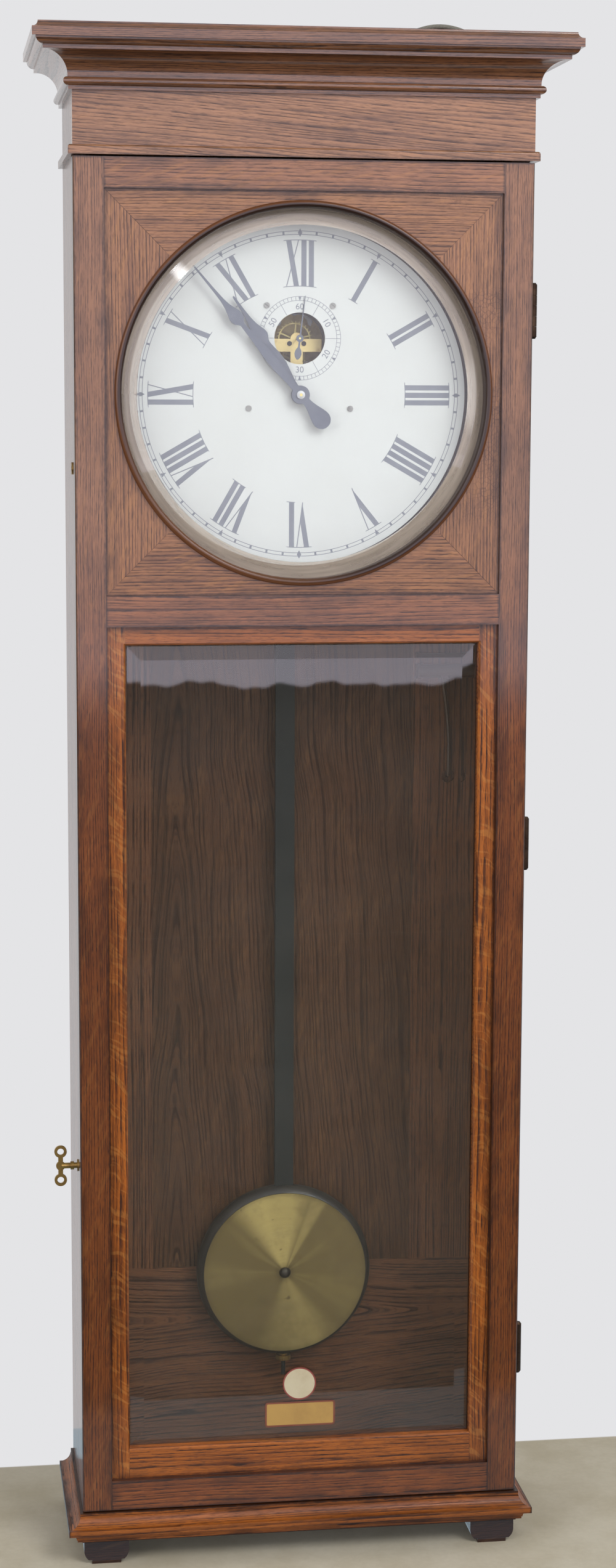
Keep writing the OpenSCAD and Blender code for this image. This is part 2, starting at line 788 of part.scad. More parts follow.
module minute_wheel() color([0.70, 0.57, 0.28]) {
    slab(64.5, 66.5) difference() {
        at(motion_x, motion_z) wheel_outline(36, 0.8, motion_a + 185, 2.6, 5, 4, 2);
        at(motion_x, motion_z) circle(1.2 + fit);
    }
    slab(58, 64.5) difference() {
        at(motion_x, motion_z) pinion_outline(10, 0.768, motion_a + 180);
        at(motion_x, motion_z) circle(1.2 + fit);
    }
}

module hour_wheel() color([0.70, 0.57, 0.28]) {
    slab(59, 61) difference() {
        at(0, 0) wheel_outline(40, 0.768, motion_a + 4.5, 2.6, 6.5, 4, 2.2);
        at(0, 0) circle(2.5 + fit);
    }
    difference() {
        rod_y(3.6, 38.9, 59, 0, z_arbor);
        rod_y(2.5 + fit, 38, 60, 0, z_arbor);
    }
}

module third_wheel() color([0.70, 0.57, 0.28]) {
    rod_y(1.2, front_d, 88, third_x, z_arbor + third_z);
    slab(88, 98) at(third_x, third_z) pinion_outline(8, 0.9, dir_third + 180 + 22.5);
    rod_y(2.4, 98, 100, third_x, z_arbor + third_z);
    slab(100, 101.6) at(third_x, third_z) wheel_outline(60, 0.8, dir_escape, 2.6, 5, 5, 2.2);
    rod_y(1.2, 101.6, back_plate_d + 3, third_x, z_arbor + third_z);
}

// Thirty pointed teeth on a thin rim with five spokes
module escape_wheel() color([0.78, 0.64, 0.30]) {
    slab(escape_d, escape_d + 1.8) at(0, escape_z) {
        difference() {
            polygon([for (i = [0:119])
                let (k = floor(i / 4), j = i % 4,
                    r = (j == 1 || j == 2) ? 18.4 : 16.4,
                    a = 12 * k + (j == 0 ? -1.6 : j == 1 ? 2.2 : j == 2 ? 3 : 1.8))
                [r * cos(a), r * sin(a)]]);
            difference() {
                circle(15.1);
                circle(4);
                for (s = [0:4]) rotate([0, 0, s * 72 + 85]) translate([0, -0.7]) square([16, 1.4]);
            }
        }
    }
    rod_y(1, 42.4, escape_d, 0, z_arbor + escape_z);
    rod_y(2.4, escape_d - 2, escape_d, 0, z_arbor + escape_z);
    rod_y(1, escape_d + 1.8, 97, 0, z_arbor + escape_z);
    slab(97, 105) at(0, escape_z) pinion_outline(8, 0.8, dir_escape + 180 + 22.5);
    rod_y(1, 105, back_plate_d + 2.5, 0, z_arbor + escape_z);
}

// Anchor with two hard pallets, its arbor and the crutch that straddles the pendulum rod
module pallet_verge() color([0.30, 0.31, 0.34]) {
    rod_y(1.2, front_d, 74, 0, z_pivot);
    rod_y(2, 74, 121, 0, z_pivot);
    slab(escape_d - 0.6, escape_d + 2.4) at(0, verge_z) union() {
        circle(5);
        for (s = [-1, 1]) polygon([[0, 5], [s * 9, 2.2], [s * 15.4, -4.6], [s * 18.2, -10.6],
            [s * 16.6, -15.6], [s * 14.2, -14.2], [s * 12.8, -9.6], [s * 7.2, -3.8], [0, -4.2]]);
    }
    bar(-3.5, 3.5, 118, 121, z_pivot - 108, z_pivot);
    bar(-3.5, 3.5, 121, fork_d - 0.6, z_pivot - 108, z_pivot - 103);
    bar(-rod_w / 2 - 2.6, rod_w / 2 + 2.6, fork_d - 3.6, fork_d - 0.6, z_pivot - 108, z_pivot - 103);
    for (s = [-1, 1]) bar(s < 0 ? -rod_w / 2 - 2.6 : rod_w / 2 + 0.3,
        s < 0 ? -rod_w / 2 - 0.3 : rod_w / 2 + 2.6, fork_d - 0.6, fork_d + 7,
        z_pivot - 108, z_pivot - 103);
}

// Winding wheel with its ratchet, turned by the magnet
module winding_wheel() color([0.70, 0.57, 0.28]) {
    rod_y(1.8, front_d, 78, great_x, z_arbor + great_z);
    slab(78, 80) at(great_x, great_z) polygon([for (i = [0:79])
        let (k = floor(i / 2), r = i % 2 == 0 ? 13.4 : 15, a = 9 * k + (i % 2 == 0 ? 0 : 8))
        [r * cos(a), r * sin(a)]]);
    rod_y(5, 80, 100, great_x, z_arbor + great_z);
    slab(100, 102) at(great_x, great_z) wheel_outline(96, 0.9, dir_great, 4, 8, 6, 3);
    rod_y(1.8, 102, back_plate_d + 3, great_x, z_arbor + great_z);
}

module winding_magnet() color([0.38, 0.16, 0.10]) {
    for (x = [35, 55]) translate([x, yf + 92, z_arbor - 84]) {
        cylinder(r = 9.4, h = 2);
        cylinder(r = 8.8, h = 25);
        translate([0, 0, 23]) cylinder(r = 9.4, h = 2);
        cylinder(r = 3.6, h = 26.4);
    }
    bar(28, 62, 86, back_plate_d, z_arbor - 89, z_arbor - 84);
}

module winding_armature() color([0.26, 0.26, 0.27]) {
    rod_y(1.5, front_d, back_plate_d + 3, armature_x, z_arbor - 52);
    bar(26, armature_x + 2, 87, 97, z_arbor - 55.4, z_arbor - 50);
    bar(26, 30, 77.6, 87, z_arbor - 55.4, z_arbor - 50);
    bar(-4.4, 30, 77.6, 80.4, z_arbor - 54, z_arbor - 50);
    translate([armature_x, yf + 92, z_arbor - 52]) rotate([90, 0, 0])
        cylinder(r = 3.4, h = 14, center = true);
}

// Iron bracket: a flange on the back, four arms to the movement and the pendulum hook
module movement_bracket() color([0.17, 0.18, 0.19]) {
    slab(panel_d - 6, panel_d) difference() {
        translate([0, z_arbor]) polygon([[-66, -84], [66, -84], [60, 112], [-60, 112]]);
        translate([-40, z_arbor - 60]) square([80, 122]);
    }
    for (p = [[-46, 76], [46, 76], [-57, -72], [57, -72]])
        rod_y(6, back_plate_d + 3, panel_d - 5, p[0], z_arbor + p[1]);
    difference() {
        bar(-13, 13, bob_d - 10, panel_d - 5, z_pivot + 6, z_pivot + 20);
        bar(-1.4, 1.4, bob_d - 7.5, bob_d + 7.5, z_pivot + 5, z_pivot + 21);
    }
}

// Pendulum

module suspension_spring() color([0.55, 0.56, 0.58]) {
    bar(-0.25, 0.25, bob_d - 7, bob_d + 7, z_pivot - 13, z_pivot + 22);
    difference() {
        bar(-7, 7, bob_d - 8, bob_d + 8, z_pivot - 30, z_pivot - 13);
        bar(-rod_w / 2, rod_w / 2, bob_d - 3, bob_d + 3, z_pivot - 31, z_pivot - 22);
    }
    rod_x(1.5, -9, 9, bob_d, z_pivot + 22);
}

module pendulum_rod() color([0.16, 0.21, 0.21]) {
    bar(-rod_w / 2, rod_w / 2, bob_d - rod_t / 2, bob_d + rod_t / 2, z_bob - 60, z_pivot - 22);
    translate([0, yf + bob_d, z_bob - bob_r - 24]) cylinder(r = 2.4, h = bob_r - 36);
}

module bob_weight() color([0.19, 0.21, 0.21]) {
    difference() {
        turned(0, bob_d + bob_t / 2, z_bob) union() {
            square([bob_r - bob_t / 2, bob_t]);
            intersection() {
                translate([bob_r - bob_t / 2, bob_t / 2]) circle(bob_t / 2);
                translate([bob_r - bob_t / 2 - 2, 0]) square([bob_t, bob_t]);
            }
        }
        bar(-rod_w / 2 - fit, rod_w / 2 + fit, bob_d - rod_t / 2 - fit, bob_d + rod_t / 2 + fit,
            z_bob - 64.5, z_bob + bob_r + 1);
        translate([0, yf + bob_d, z_bob - bob_r - 1]) cylinder(r = 2.4 + fit, h = bob_r);
    }
}

module bob_face() color([0.62, 0.52, 0.26]) {
    rod_y(bob_face_r, bob_d - bob_t / 2 - 1.5, bob_d - bob_t / 2, 0, z_bob);
    turned(0, bob_d - bob_t / 2 - 1.5, z_bob) intersection() {
        translate([0, -1.5]) circle(6.4);
        square([6.4, 6]);
    }
}

module rating_nut() color([0.60, 0.50, 0.26]) {
    translate([0, yf + bob_d, z_bob - bob_r - 6.7]) difference() {
        union() {
            cylinder(r = 8, h = 5);
            cylinder(r = 4.5, h = 6.4);
        }
        translate([0, 0, -1]) cylinder(r = 2.4 + fit, h = 10);
        for (a = [0:20:340]) rotate([0, 0, a]) translate([8.4, 0, -1]) cylinder(r = 0.8, h = 10);
    }
}

// Coil spool at the upper right, with its covered lead down the back

module terminal_block() color([0.42, 0.27, 0.17]) {
    translate([spool_x, 0, spool_z]) {
        difference() {
            union() {
                rod_x(7, -27, 27, back_d - 5.5, 0);
                for (x = [-27, 23]) rod_x(8.2, x, x + 4, back_d - 5.5, 0);
                bar(-2, 6, back_d - 11, back_d - 3, -11, 0);
            }
            bar(-40, 40, back_d, back_d + 10, -13, 13);
        }
        sweep([for (q = lead_route) [q[0], yf + q[1], q[2]]], 2, 8);
    }
}

function coil_turn(i) = i / 24;
function coil_layer(i) = min(coil_layers - 1, floor(coil_turn(i) / coil_turns));
function coil_in_layer(i) = coil_turn(i) - coil_layer(i) * coil_turns;
function coil_radius(i) = coil_layer(i) % 2 == 0
    ? coil_out - coil_pitch * coil_in_layer(i)
    : coil_out - coil_pitch * (coil_turns - coil_in_layer(i));

// The cord climbs to the next layer in the half turn where the spiral reverses
function coil_climb(i) = let (t = coil_turn(i), k = floor(t / coil_turns + 0.5),
    s = t - k * coil_turns)
    (k < 1 || k > coil_layers - 1) ? (k < 1 ? 0 : coil_layers - 1)
        : k - 1 + min(1, max(0, 2 * s + 0.5));

function coil_point(i) = [coil_x + coil_radius(i) * cos(15 * i),
    coil_y + coil_radius(i) * sin(15 * i),
    z_floor + 0.3 + cord_r + coil_pitch * coil_climb(i)];

coil_start = coil_point(0) - [0, cord_d, 0];
coil_end = coil_point(coil_steps) - [cord_d, 0, 0];
coil_path = concat([coil_start], [for (i = [0:coil_steps]) coil_point(i)], [coil_end]);

// Least gap of the coil to itself, measured on its points and printed
function coil_gap() = min([for (i = [0:3:coil_steps]) for (j = [i + 12:1:coil_steps])
    norm(coil_point(i) - coil_point(j))]) - cord_d;
echo(coil_gap = coil_gap());

function unit(v) = v / norm(v);
function tangent(p, i) = unit(p[min(i + 1, len(p) - 1)] - p[max(i - 1, 0)]);

// Ring frames carried along the route, each turned as little as possible from the last
function frames(p, i = 0, u = [1, 0, 0], out = []) = i >= len(p) ? out :
    let (t = tangent(p, i), w = u - (u * t) * t, v = norm(w) < 0.05 ? cross(t, [0, 1, 0]) : w)
    frames(p, i + 1, unit(v), concat(out, [[unit(v), cross(t, unit(v))]]));

module sweep(p, r, sides) {
    n = len(p);
    start = abs(tangent(p, 0)[0]) > 0.7 ? [0, 0, 1] : [1, 0, 0];
    f = frames(p, 0, start);
    pts = [for (i = [0:n - 1]) for (k = [0:sides - 1])
        p[i] + r * cos(360 * k / sides) * f[i][0] + r * sin(360 * k / sides) * f[i][1]];
    walls = [for (i = [0:n - 2]) for (k = [0:sides - 1])
        [i * sides + k, (i + 1) * sides + (k + 1) % sides, i * sides + (k + 1) % sides]];
    walls2 = [for (i = [0:n - 2]) for (k = [0:sides - 1])
        [i * sides + k, (i + 1) * sides + k, (i + 1) * sides + (k + 1) % sides]];
    polyhedron(pts, concat(walls, walls2, [[for (k = [0:sides - 1]) k]],
        [[for (k = [sides - 1:-1:0]) (n - 1) * sides + k]]));
}

module cord_grommet() color([0.12, 0.11, 0.10]) {
    translate([grommet_x, cord_y + 1, z_floor - 15]) difference() {
        union() {
            cylinder(r = 5, h = 15);
            translate([0, 0, 15]) cylinder(r = 7.5, h = 2);
        }
        translate([0, 0, 14]) cylinder(r = cord_r + 0.15, h = 30);
    }
}

module supply_cord() color([0.42, 0.41, 0.38]) {
    sweep(concat([for (q = cord_route) [grommet_x + q[0], cord_y + q[1], z_floor + q[2]]],
        [coil_start - [0, 1.2 * cord_d, 0], coil_start]), cord_r, 8);
    sweep(concat([coil_end, coil_end - [cord_d, 0, 0]],
        [for (q = plug_route) [plug_x + q[0], coil_end[1], z_floor + q[1]]]), cord_r, 8);
}

module cord_coil() color([0.42, 0.41, 0.38]) sweep(coil_path, cord_r, 6);

// Plug cap with two flat pins, lying on the top board
module cord_plug() color([0.20, 0.11, 0.07]) {
    translate([plug_x, coil_end[1], z_floor + plug_r]) rotate([0, -90, 0]) {
        rotate_extrude() polygon([[0, 0], [4.6, 0], [6.2, 4], [plug_r - 2, 11],
            [plug_r, 14], [plug_r, 23], [plug_r - 1.5, 24.5], [0, 24.5]]);
        for (s = [-1, 1]) translate([-3.2, s * 6.4 - 0.75, 24]) cube([6.4, 1.5, 17]);
    }
}

case_side_left();
case_side_right();
case_top_board();
case_bottom_board();
back_frame();
back_panel();
frieze_board();
crown_moulding();
base_moulding();
feet();
door_stile_left();
door_stile_right();
door_rail_top();
door_rail_middle();
door_rail_bottom();
dial_surround();
dial_ring();
dial_glass();
lower_glass_frame();
lower_glass();
glass_stops();
hinge_leaves_case();
hinge_leaves_door();
hinge_screws_case();
hinge_screws_door();
latch_collars();
latch_upper();
latch_lower();
latch_strikes();
latch_key();
dial_plate();
dial_screws();
hour_hand();
minute_hand();
second_hand();
hand_nut();
movement_front_plate();
movement_back_plate();
movement_pillars();
escapement_cock();
centre_wheel();
minute_wheel();
hour_wheel();
third_wheel();
escape_wheel();
pallet_verge();
winding_wheel();
winding_magnet();
winding_armature();
movement_bracket();
suspension_spring();
pendulum_rod();
bob_face();
bob_weight();
rating_nut();
terminal_block();
cord_grommet();
supply_cord();
cord_coil();
cord_plug();
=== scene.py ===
"""Electric regulator clock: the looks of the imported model.

The case, door, dial, movement and pendulum come from the CAD frame and get their finishes here.
The dial's printing, the supply cord and two blank stickers are modelled here.
"""

import logging
import math
from contextlib import contextmanager
from dataclasses import dataclass, field
from enum import Enum
from typing import Any, Callable, Iterator, Protocol, Sequence

import bpy
from mathutils import Matrix, Vector


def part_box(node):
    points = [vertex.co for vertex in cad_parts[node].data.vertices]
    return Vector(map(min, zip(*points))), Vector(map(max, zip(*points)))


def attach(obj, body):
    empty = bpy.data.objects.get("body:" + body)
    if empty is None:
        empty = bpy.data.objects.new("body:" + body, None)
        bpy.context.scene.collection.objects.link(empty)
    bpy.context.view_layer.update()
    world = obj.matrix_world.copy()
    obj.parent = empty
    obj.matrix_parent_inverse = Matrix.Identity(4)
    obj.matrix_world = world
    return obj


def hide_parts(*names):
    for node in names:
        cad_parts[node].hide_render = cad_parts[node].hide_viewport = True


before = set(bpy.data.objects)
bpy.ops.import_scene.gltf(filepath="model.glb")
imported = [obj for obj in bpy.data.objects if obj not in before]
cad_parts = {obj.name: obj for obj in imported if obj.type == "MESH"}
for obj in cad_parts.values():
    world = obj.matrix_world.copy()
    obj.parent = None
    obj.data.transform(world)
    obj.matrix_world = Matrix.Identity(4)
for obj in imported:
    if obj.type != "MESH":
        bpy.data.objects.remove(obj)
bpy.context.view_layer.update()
LOG = logging.getLogger("clock")
MM = 0.001

Colour = tuple[float, float, float]
Point = tuple[float, float, float]
Piece = bpy.types.Object
Material = bpy.types.Material


def paint(*seen: int) -> Colour:
    """Turns a colour as seen on a screen, 0 to 255, into the linear values of a shader."""
    return tuple(part / 12.92 if part <= 0.04045 else ((part + 0.055) / 1.055) ** 2.4
                 for part in (value / 255 for value in seen))


WHITE = paint(228, 228, 230)


def mix(first: Colour, second: Colour, share: float) -> Colour:
    """Mixes two fixed colours, with the given share of the second."""
    return tuple(a + (b - a) * share for a, b in zip(first, second))


def middle(node: str) -> Vector:
    """The middle of a CAD node's box, in metres."""
    low, high = (Vector(corner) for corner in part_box(node))
    return (low + high) / 2


def reach(node: str) -> float:
    """Half the width of a CAD node's box, in metres."""
    low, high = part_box(node)
    return (high[0] - low[0]) / 2


def operator(operation: str, swapped: bool = False) -> Callable[..., "Sock"]:
    """Writes an operator of Sock as a Math node.

    Args:
        operation: The Math node's operation.
        swapped: Whether the other value comes first.

    Returns:
        The operator's method.
    """

    def apply(self: "Sock", *other: "Sock | float") -> "Sock":
        """Adds the Math node."""
        return self.sheet.math(operation, *((*other, self) if swapped else (self, *other)))

    return apply


@dataclass
class Sock:
    """A socket of a shader node that can be written in sums, products and comparisons.

    Attributes:
        sheet: The node tree that it belongs to.
        out: The output socket.
    """

    sheet: "Sheet"
    out: bpy.types.NodeSocket

    __add__ = __radd__ = operator("ADD")
    __sub__ = operator("SUBTRACT")
    __rsub__ = operator("SUBTRACT", swapped=True)
    __mul__ = __rmul__ = operator("MULTIPLY")
    __truediv__ = operator("DIVIDE")
    __gt__ = operator("GREATER_THAN")
    __lt__ = operator("LESS_THAN")
    __abs__ = operator("ABSOLUTE")


class Sheet:
    """The node tree of one material, or of the world round the clock."""

    def __init__(self, name: str, world: bool = False) -> None:
        """Starts an empty node tree.

        Args:
            name: The material's name.
            world: Whether it is the world's tree.
        """
        self.material = (bpy.data.worlds if world else bpy.data.materials).new(name)
        self.output = "ShaderNodeOutputWorld" if world else "ShaderNodeOutputMaterial"
        self.material.use_nodes = True
        self.tree = self.material.node_tree
        self.tree.nodes.clear()

    def add(self, kind: str, settings: dict[str, Any] | None = None,
            inputs: dict[Any, Any] | None = None, output: Any = 0) -> "Sock | None":
        """Adds one node.

        Args:
            kind: The node's type.
            settings: Its settings, set before its sockets.
            inputs: Values or sockets for its inputs, by name or number.
            output: The output that is wanted, by name or number.

        Returns:
            The wanted output, or nothing from a node that has none.
        """
        node = self.tree.nodes.new(kind)
        for key, value in (settings or {}).items():
            setattr(node, key, value)
        for key, value in (inputs or {}).items():
            self.put(node.inputs[key], value)
        return Sock(self, node.outputs[output]) if node.outputs else None

    def put(self, socket: bpy.types.NodeSocket, value: Any) -> None:
        """Links a socket to an input, or sets the input's own value.

        Args:
            socket: The input.
            value: A Sock, a number or a list of numbers.
        """
        if isinstance(value, Sock):
            self.tree.links.new(value.out, socket)
        elif socket.type == "RGBA" and len(value) == 3:
            socket.default_value = (*value, 1)
        else:
            socket.default_value = value

    def math(self, operation: str, *values: "Sock | float") -> Sock:
        """A Math node on one to three values."""
        return self.add("ShaderNodeMath", {"operation": operation}, dict(enumerate(values)))

    def place(self) -> Sock:
        """The place on the object, in metres."""
        return self.add("ShaderNodeTexCoord", output="Object")

    def parts(self, vector: Sock) -> tuple[Sock, ...]:
        """The X, Y and Z of a vector."""
        node = self.add("ShaderNodeSeparateXYZ", inputs={0: vector}).out.node
        return tuple(Sock(self, out) for out in node.outputs)

    def vector(self, x: Any, y: Any, z: Any) -> Sock:
        """A vector from three parts."""
        return self.add("ShaderNodeCombineXYZ", inputs={0: x, 1: y, 2: z})

    def span(self, x: Sock, z: Sock) -> Sock:
        """The distance from a middle, from its two parts."""
        return self.math("SQRT", x * x + z * z)

    def noise(self, vector: Sock, scale: float = 1, detail: float = 2, rough: float = 0.5) -> Sock:
        """A noise from 0 to 1; detail counts its finer layers, and rough is their strength."""
        return self.add("ShaderNodeTexNoise", inputs={
            "Vector": vector, "Scale": scale, "Detail": detail, "Roughness": rough})

    def ease(self, value: Sock, low: float, high: float, start: float = 0, end: float = 1) -> Sock:
        """A smooth step from start to end while a value goes from low to high."""
        return self.add("ShaderNodeMapRange", {"interpolation_type": "SMOOTHSTEP"}, {
            "Value": value, "From Min": low, "From Max": high, "To Min": start, "To Max": end})

    def blend(self, share: "Sock | float", first: Any, second: Any) -> Sock:
        """Mixes two colours, with the given share of the second."""
        return self.add("ShaderNodeMix", {"data_type": "RGBA"},
                        {0: share, 6: first, 7: second}, 2)

    def coats(self, colour: Any, *layers: tuple[Any, Any]) -> Sock:
        """Lays colours over a colour, each with the share of it that shows."""
        for share, over in layers:
            colour = self.blend(share, colour, over)
        return colour

    def either(self, share: Sock, first: Sock, second: Sock) -> Sock:
        """Mixes two vectors."""
        return self.add("ShaderNodeMix", {"data_type": "VECTOR"},
                        {0: share, 4: first, 5: second}, 1)

    def bump(self, height: Sock, depth: float, strength: float = 1) -> Sock:
        """A normal from a height from 0 to 1, where 1 is this depth in metres."""
        return self.add("ShaderNodeBump", inputs={
            "Height": height, "Distance": depth, "Strength": strength})

    def surface(self, inputs: dict[str, Any]) -> Sock:
        """The surface shader with its sockets filled."""
        return self.add("ShaderNodeBsdfPrincipled", inputs=inputs)

    def painted(self, inputs: dict[str, Any]) -> Material:
        """The material, with one surface shader filled by these inputs."""
        return self.done(self.surface(inputs))

    def mixed(self, share: Sock, first: Sock, second: Sock) -> Sock:
        """Mixes two shaders, with the given share of the second."""
        return self.add("ShaderNodeMixShader", inputs={0: share, 1: first, 2: second})

    def glow(self, colour: Colour, strength: float) -> Sock:
        """A shader that shines by itself."""
        return self.add("ShaderNodeEmission", inputs={"Color": colour, "Strength": strength})

    def done(self, shader: Sock) -> Any:
        """Puts the shader on the output, and gives the material or the world."""
        self.add(self.output, inputs={"Surface": shader})
        return self.material


class Finish(Protocol):
    """Looks that can be made into a material."""

    def make(self) -> Material:
        """Builds the material."""


class Grain(Enum):
    """Which way the grain of a board runs."""

    ACROSS = "along X"
    UPRIGHT = "along Z"
    DEEP = "along Y"


class Joint(Enum):
    """How boards of two directions meet in one node."""

    NONE = "one board"
    DIAL_MITRE = "mitres round the dial"
    CORNER_MITRE = "mitres at the corners of the case"
    BUTT = "upright strips between level strips"
    BACK_BUTT = "upright boards between level boards of the back"


PANEL_LAP = 6 * MM  # how far the back's panel goes into its frame
STRIP_WIDTH = 18.6 * MM  # of the strips that frame the lower glass
SHEEN_FROM_TO = (0.86, 1.12)  # heights where the painted sheen begins to pale the wood and is strongest, in metres
HEART_ROUND = 0.00004  # square of how softly the growth rings turn at a heart, in metres
HEART_TAPER = 0.07  # how fast they close along the board
WANDER = 0.012  # how far the grain wanders sideways, in metres
# painted sheen: greyish pale tones laid over the wood higher up, standing in for the bright room
# mirrored in the varnish
SHEEN_LATE, SHEEN_EARLY = paint(116, 82, 66), paint(190, 146, 114)
RAY, PORE, STAIN = paint(222, 160, 88), paint(40, 18, 9), paint(52, 25, 12)
# the second colour darkens the edges of the boards: grime, and painted shade in the joints
CRACK, GRIME_AND_SHADE = paint(60, 30, 22), paint(30, 15, 9)


@dataclass
class Run:
    """Places on a board: along its grain, across it and into it.

    Attributes:
        sheet: The node tree.
        along: Place along the grain.
        across: Place across the grain.
        deep: Place into the board.
    """

    sheet: Sheet
    along: Sock
    across: Sock
    deep: Sock

    def noise(self, long: float, wide: float, detail: float = 1, rough: float = 0.5) -> Sock:
        """A noise drawn out along the grain: how fine it is along it and across it."""
        vector = self.sheet.vector(self.along * long, self.across * wide, self.deep * wide)
        return self.sheet.noise(vector, detail=detail, rough=rough)


@dataclass(frozen=True)
class Oak:
    """Varnished oak with rows of pores, rays, edges darkened by grime and painted shade, and a
    painted sheen that pales it towards the top.

    Attributes:
        node: The CAD node that the boards belong to.
        dark: Colour of the late wood low on the case.
        light: Colour of the early wood low on the case.
        grain: The way the grain runs.
        joint: How boards of two directions meet.
        seed: Shift of the pattern, so that no two boards are alike.
        slope: How far the grain drifts across for each metre along.
        pitch: Distance between the rows of pores, in metres.
        reach: Length of one pore line, in metres.
        pores: How dark the pores are.
        figure: How strong the streaks are, from 0 to 1.
        rays: How much ray fleck shows, from 0 to 1.
        ribbon: How much the slanting pale lines of quarter-sawn strips show, from 0 to 1.
        heart: Place across the board where its growth rings arch, in metres, or nothing.
        bleach: How far a painted sheen pales the wood towards the top, from 0 to 1.
        crazed: Whether the varnish is crazed in patches.
        soil: How dark the edges of the boards are, with grime and painted shade, from 0 to 1.
        gloss: Weight of the varnish coat.
        shine: Specular level of the wood under the coat.
    """

    node: str
    dark: Colour = paint(72, 33, 15)
    light: Colour = paint(148, 84, 36)
    grain: Grain = Grain.UPRIGHT
    joint: Joint = Joint.NONE
    seed: float = 0.0
    slope: float = 0.0
    pitch: float = 0.0026
    reach: float = 0.014
    pores: float = 0.85
    figure: float = 0.5
    rays: float = 0.15
    ribbon: float = 0.0
    heart: float | None = None
    bleach: float = 0.8
    crazed: bool = False
    soil: float = 0.7
    gloss: float = 0.6
    shine: float = 0.2

    def second_way(self, x: Sock, y: Sock, z: Sock) -> tuple[Sock, Grain] | None:
        """Where the second direction of grain is, and which one it is.

        Args:
            x: Place across.
            y: Place in depth.
            z: Height.

        Returns:
            The share of the second direction and the direction, or nothing for one board.
        """
        if self.joint is Joint.DIAL_MITRE:
            return abs(x) > abs(z - middle("dial_plate").z), Grain.UPRIGHT
        if self.joint is Joint.CORNER_MITRE:
            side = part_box("case_side_right")[1][0]
            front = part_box("door_stile_left")[0][1]
            return (abs(x) - side) > (front - y), Grain.DEEP
        if self.joint is Joint.BACK_BUTT:
            low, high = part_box("back_panel")
            return (z > low[2] + PANEL_LAP) * (high[2] - PANEL_LAP > z), Grain.UPRIGHT
        if self.joint is Joint.BUTT:
            return abs(x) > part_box("lower_glass_frame")[1][0] - STRIP_WIDTH, Grain.UPRIGHT
        return None

    def lay(self, sheet: Sheet, place: Sock) -> tuple[Run, Sock | None]:
        """Lays the grain along the board, or along the boards of a joint.

        Args:
            sheet: The node tree.
            place: The place on the board.

        Returns:
            The run of the grain, and where the second direction is, if there is one.
        """
        x, y, z = sheet.parts(place)
        ways = {Grain.ACROSS: (x, z, y), Grain.UPRIGHT: (z, x, y), Grain.DEEP: (y, z, x)}
        along, across, deep = ways[self.grain]
        if self.heart is not None:
            off = across - self.heart + (sheet.noise(place, 7, 1) - 0.5) * 0.02
            across = sheet.math("SQRT", off * off + HEART_ROUND) + along * HEART_TAPER
        board = sheet.vector(along, across, deep)
        second = self.second_way(x, y, z)
        if second:
            board = sheet.either(second[0], board, sheet.vector(*ways[second[1]]))
        along, across, deep = sheet.parts(board)
        if self.slope:
            across = across + along * self.slope
        run = Run(sheet, along + self.seed * 1.7, across + self.seed * 0.37, deep)
        run.across = run.across + (run.noise(3, 12, 2) - 0.5) * WANDER
        return run, second[0] if second else None

    def flecks(self, run: Run, second: Sock | None) -> Sock:
        """The pale ray flecks, and the slanting lines of quarter-sawn strips.

        Args:
            run: The run of the grain.
            second: Where the second direction is, if there is one.

        Returns:
            How much of them shows.
        """
        sheet, along, across, deep = run.sheet, run.along, run.across, run.deep
        fleck = sheet.noise(sheet.vector(along * 24 + across * 20, across * 190 - along * 60,
                                         deep * 190), detail=1)
        fleck = sheet.ease(fleck, 0.5, 0.72) * self.rays
        if self.ribbon:
            slant = (along + across * 0.75) * 210 + (run.noise(16, 40) - 0.5) * 5
            lines = sheet.noise(sheet.vector(slant, across * 26 - along * 20, deep * 22), detail=1)
            share = self.ribbon if second is None else second * self.ribbon
            fleck = fleck + sheet.ease(lines, 0.52, 0.66) * share
        return fleck

    def edges(self, sheet: Sheet, place: Sock) -> Sock:
        """Grime and painted shade along the outer edges of the boards.

        Args:
            sheet: The node tree.
            place: The place on the board.

        Returns:
            How much grime and painted shade there is, from 0 to 1.
        """
        low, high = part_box(self.node)
        x, _, z = sheet.parts(place)
        near = sheet.math("MINIMUM", sheet.math("MINIMUM", x - low[0], high[0] - x),
                          sheet.math("MINIMUM", z - low[2], high[2] - z))
        # a thin dark line at each edge, painted shade in the joint with grime, and a wider smear
        # of grime and painted shade
        line = sheet.ease(near - sheet.noise(place, 130, 2) * 0.0032, -0.0016, 0.0012, 1, 0)
        smear = sheet.ease(sheet.noise(place, 24, 3), 0.4, 0.7)
        smear = sheet.ease(near, 0.0, 0.014, 0.75, 0) * smear
        return sheet.math("MAXIMUM", line, smear) * self.soil

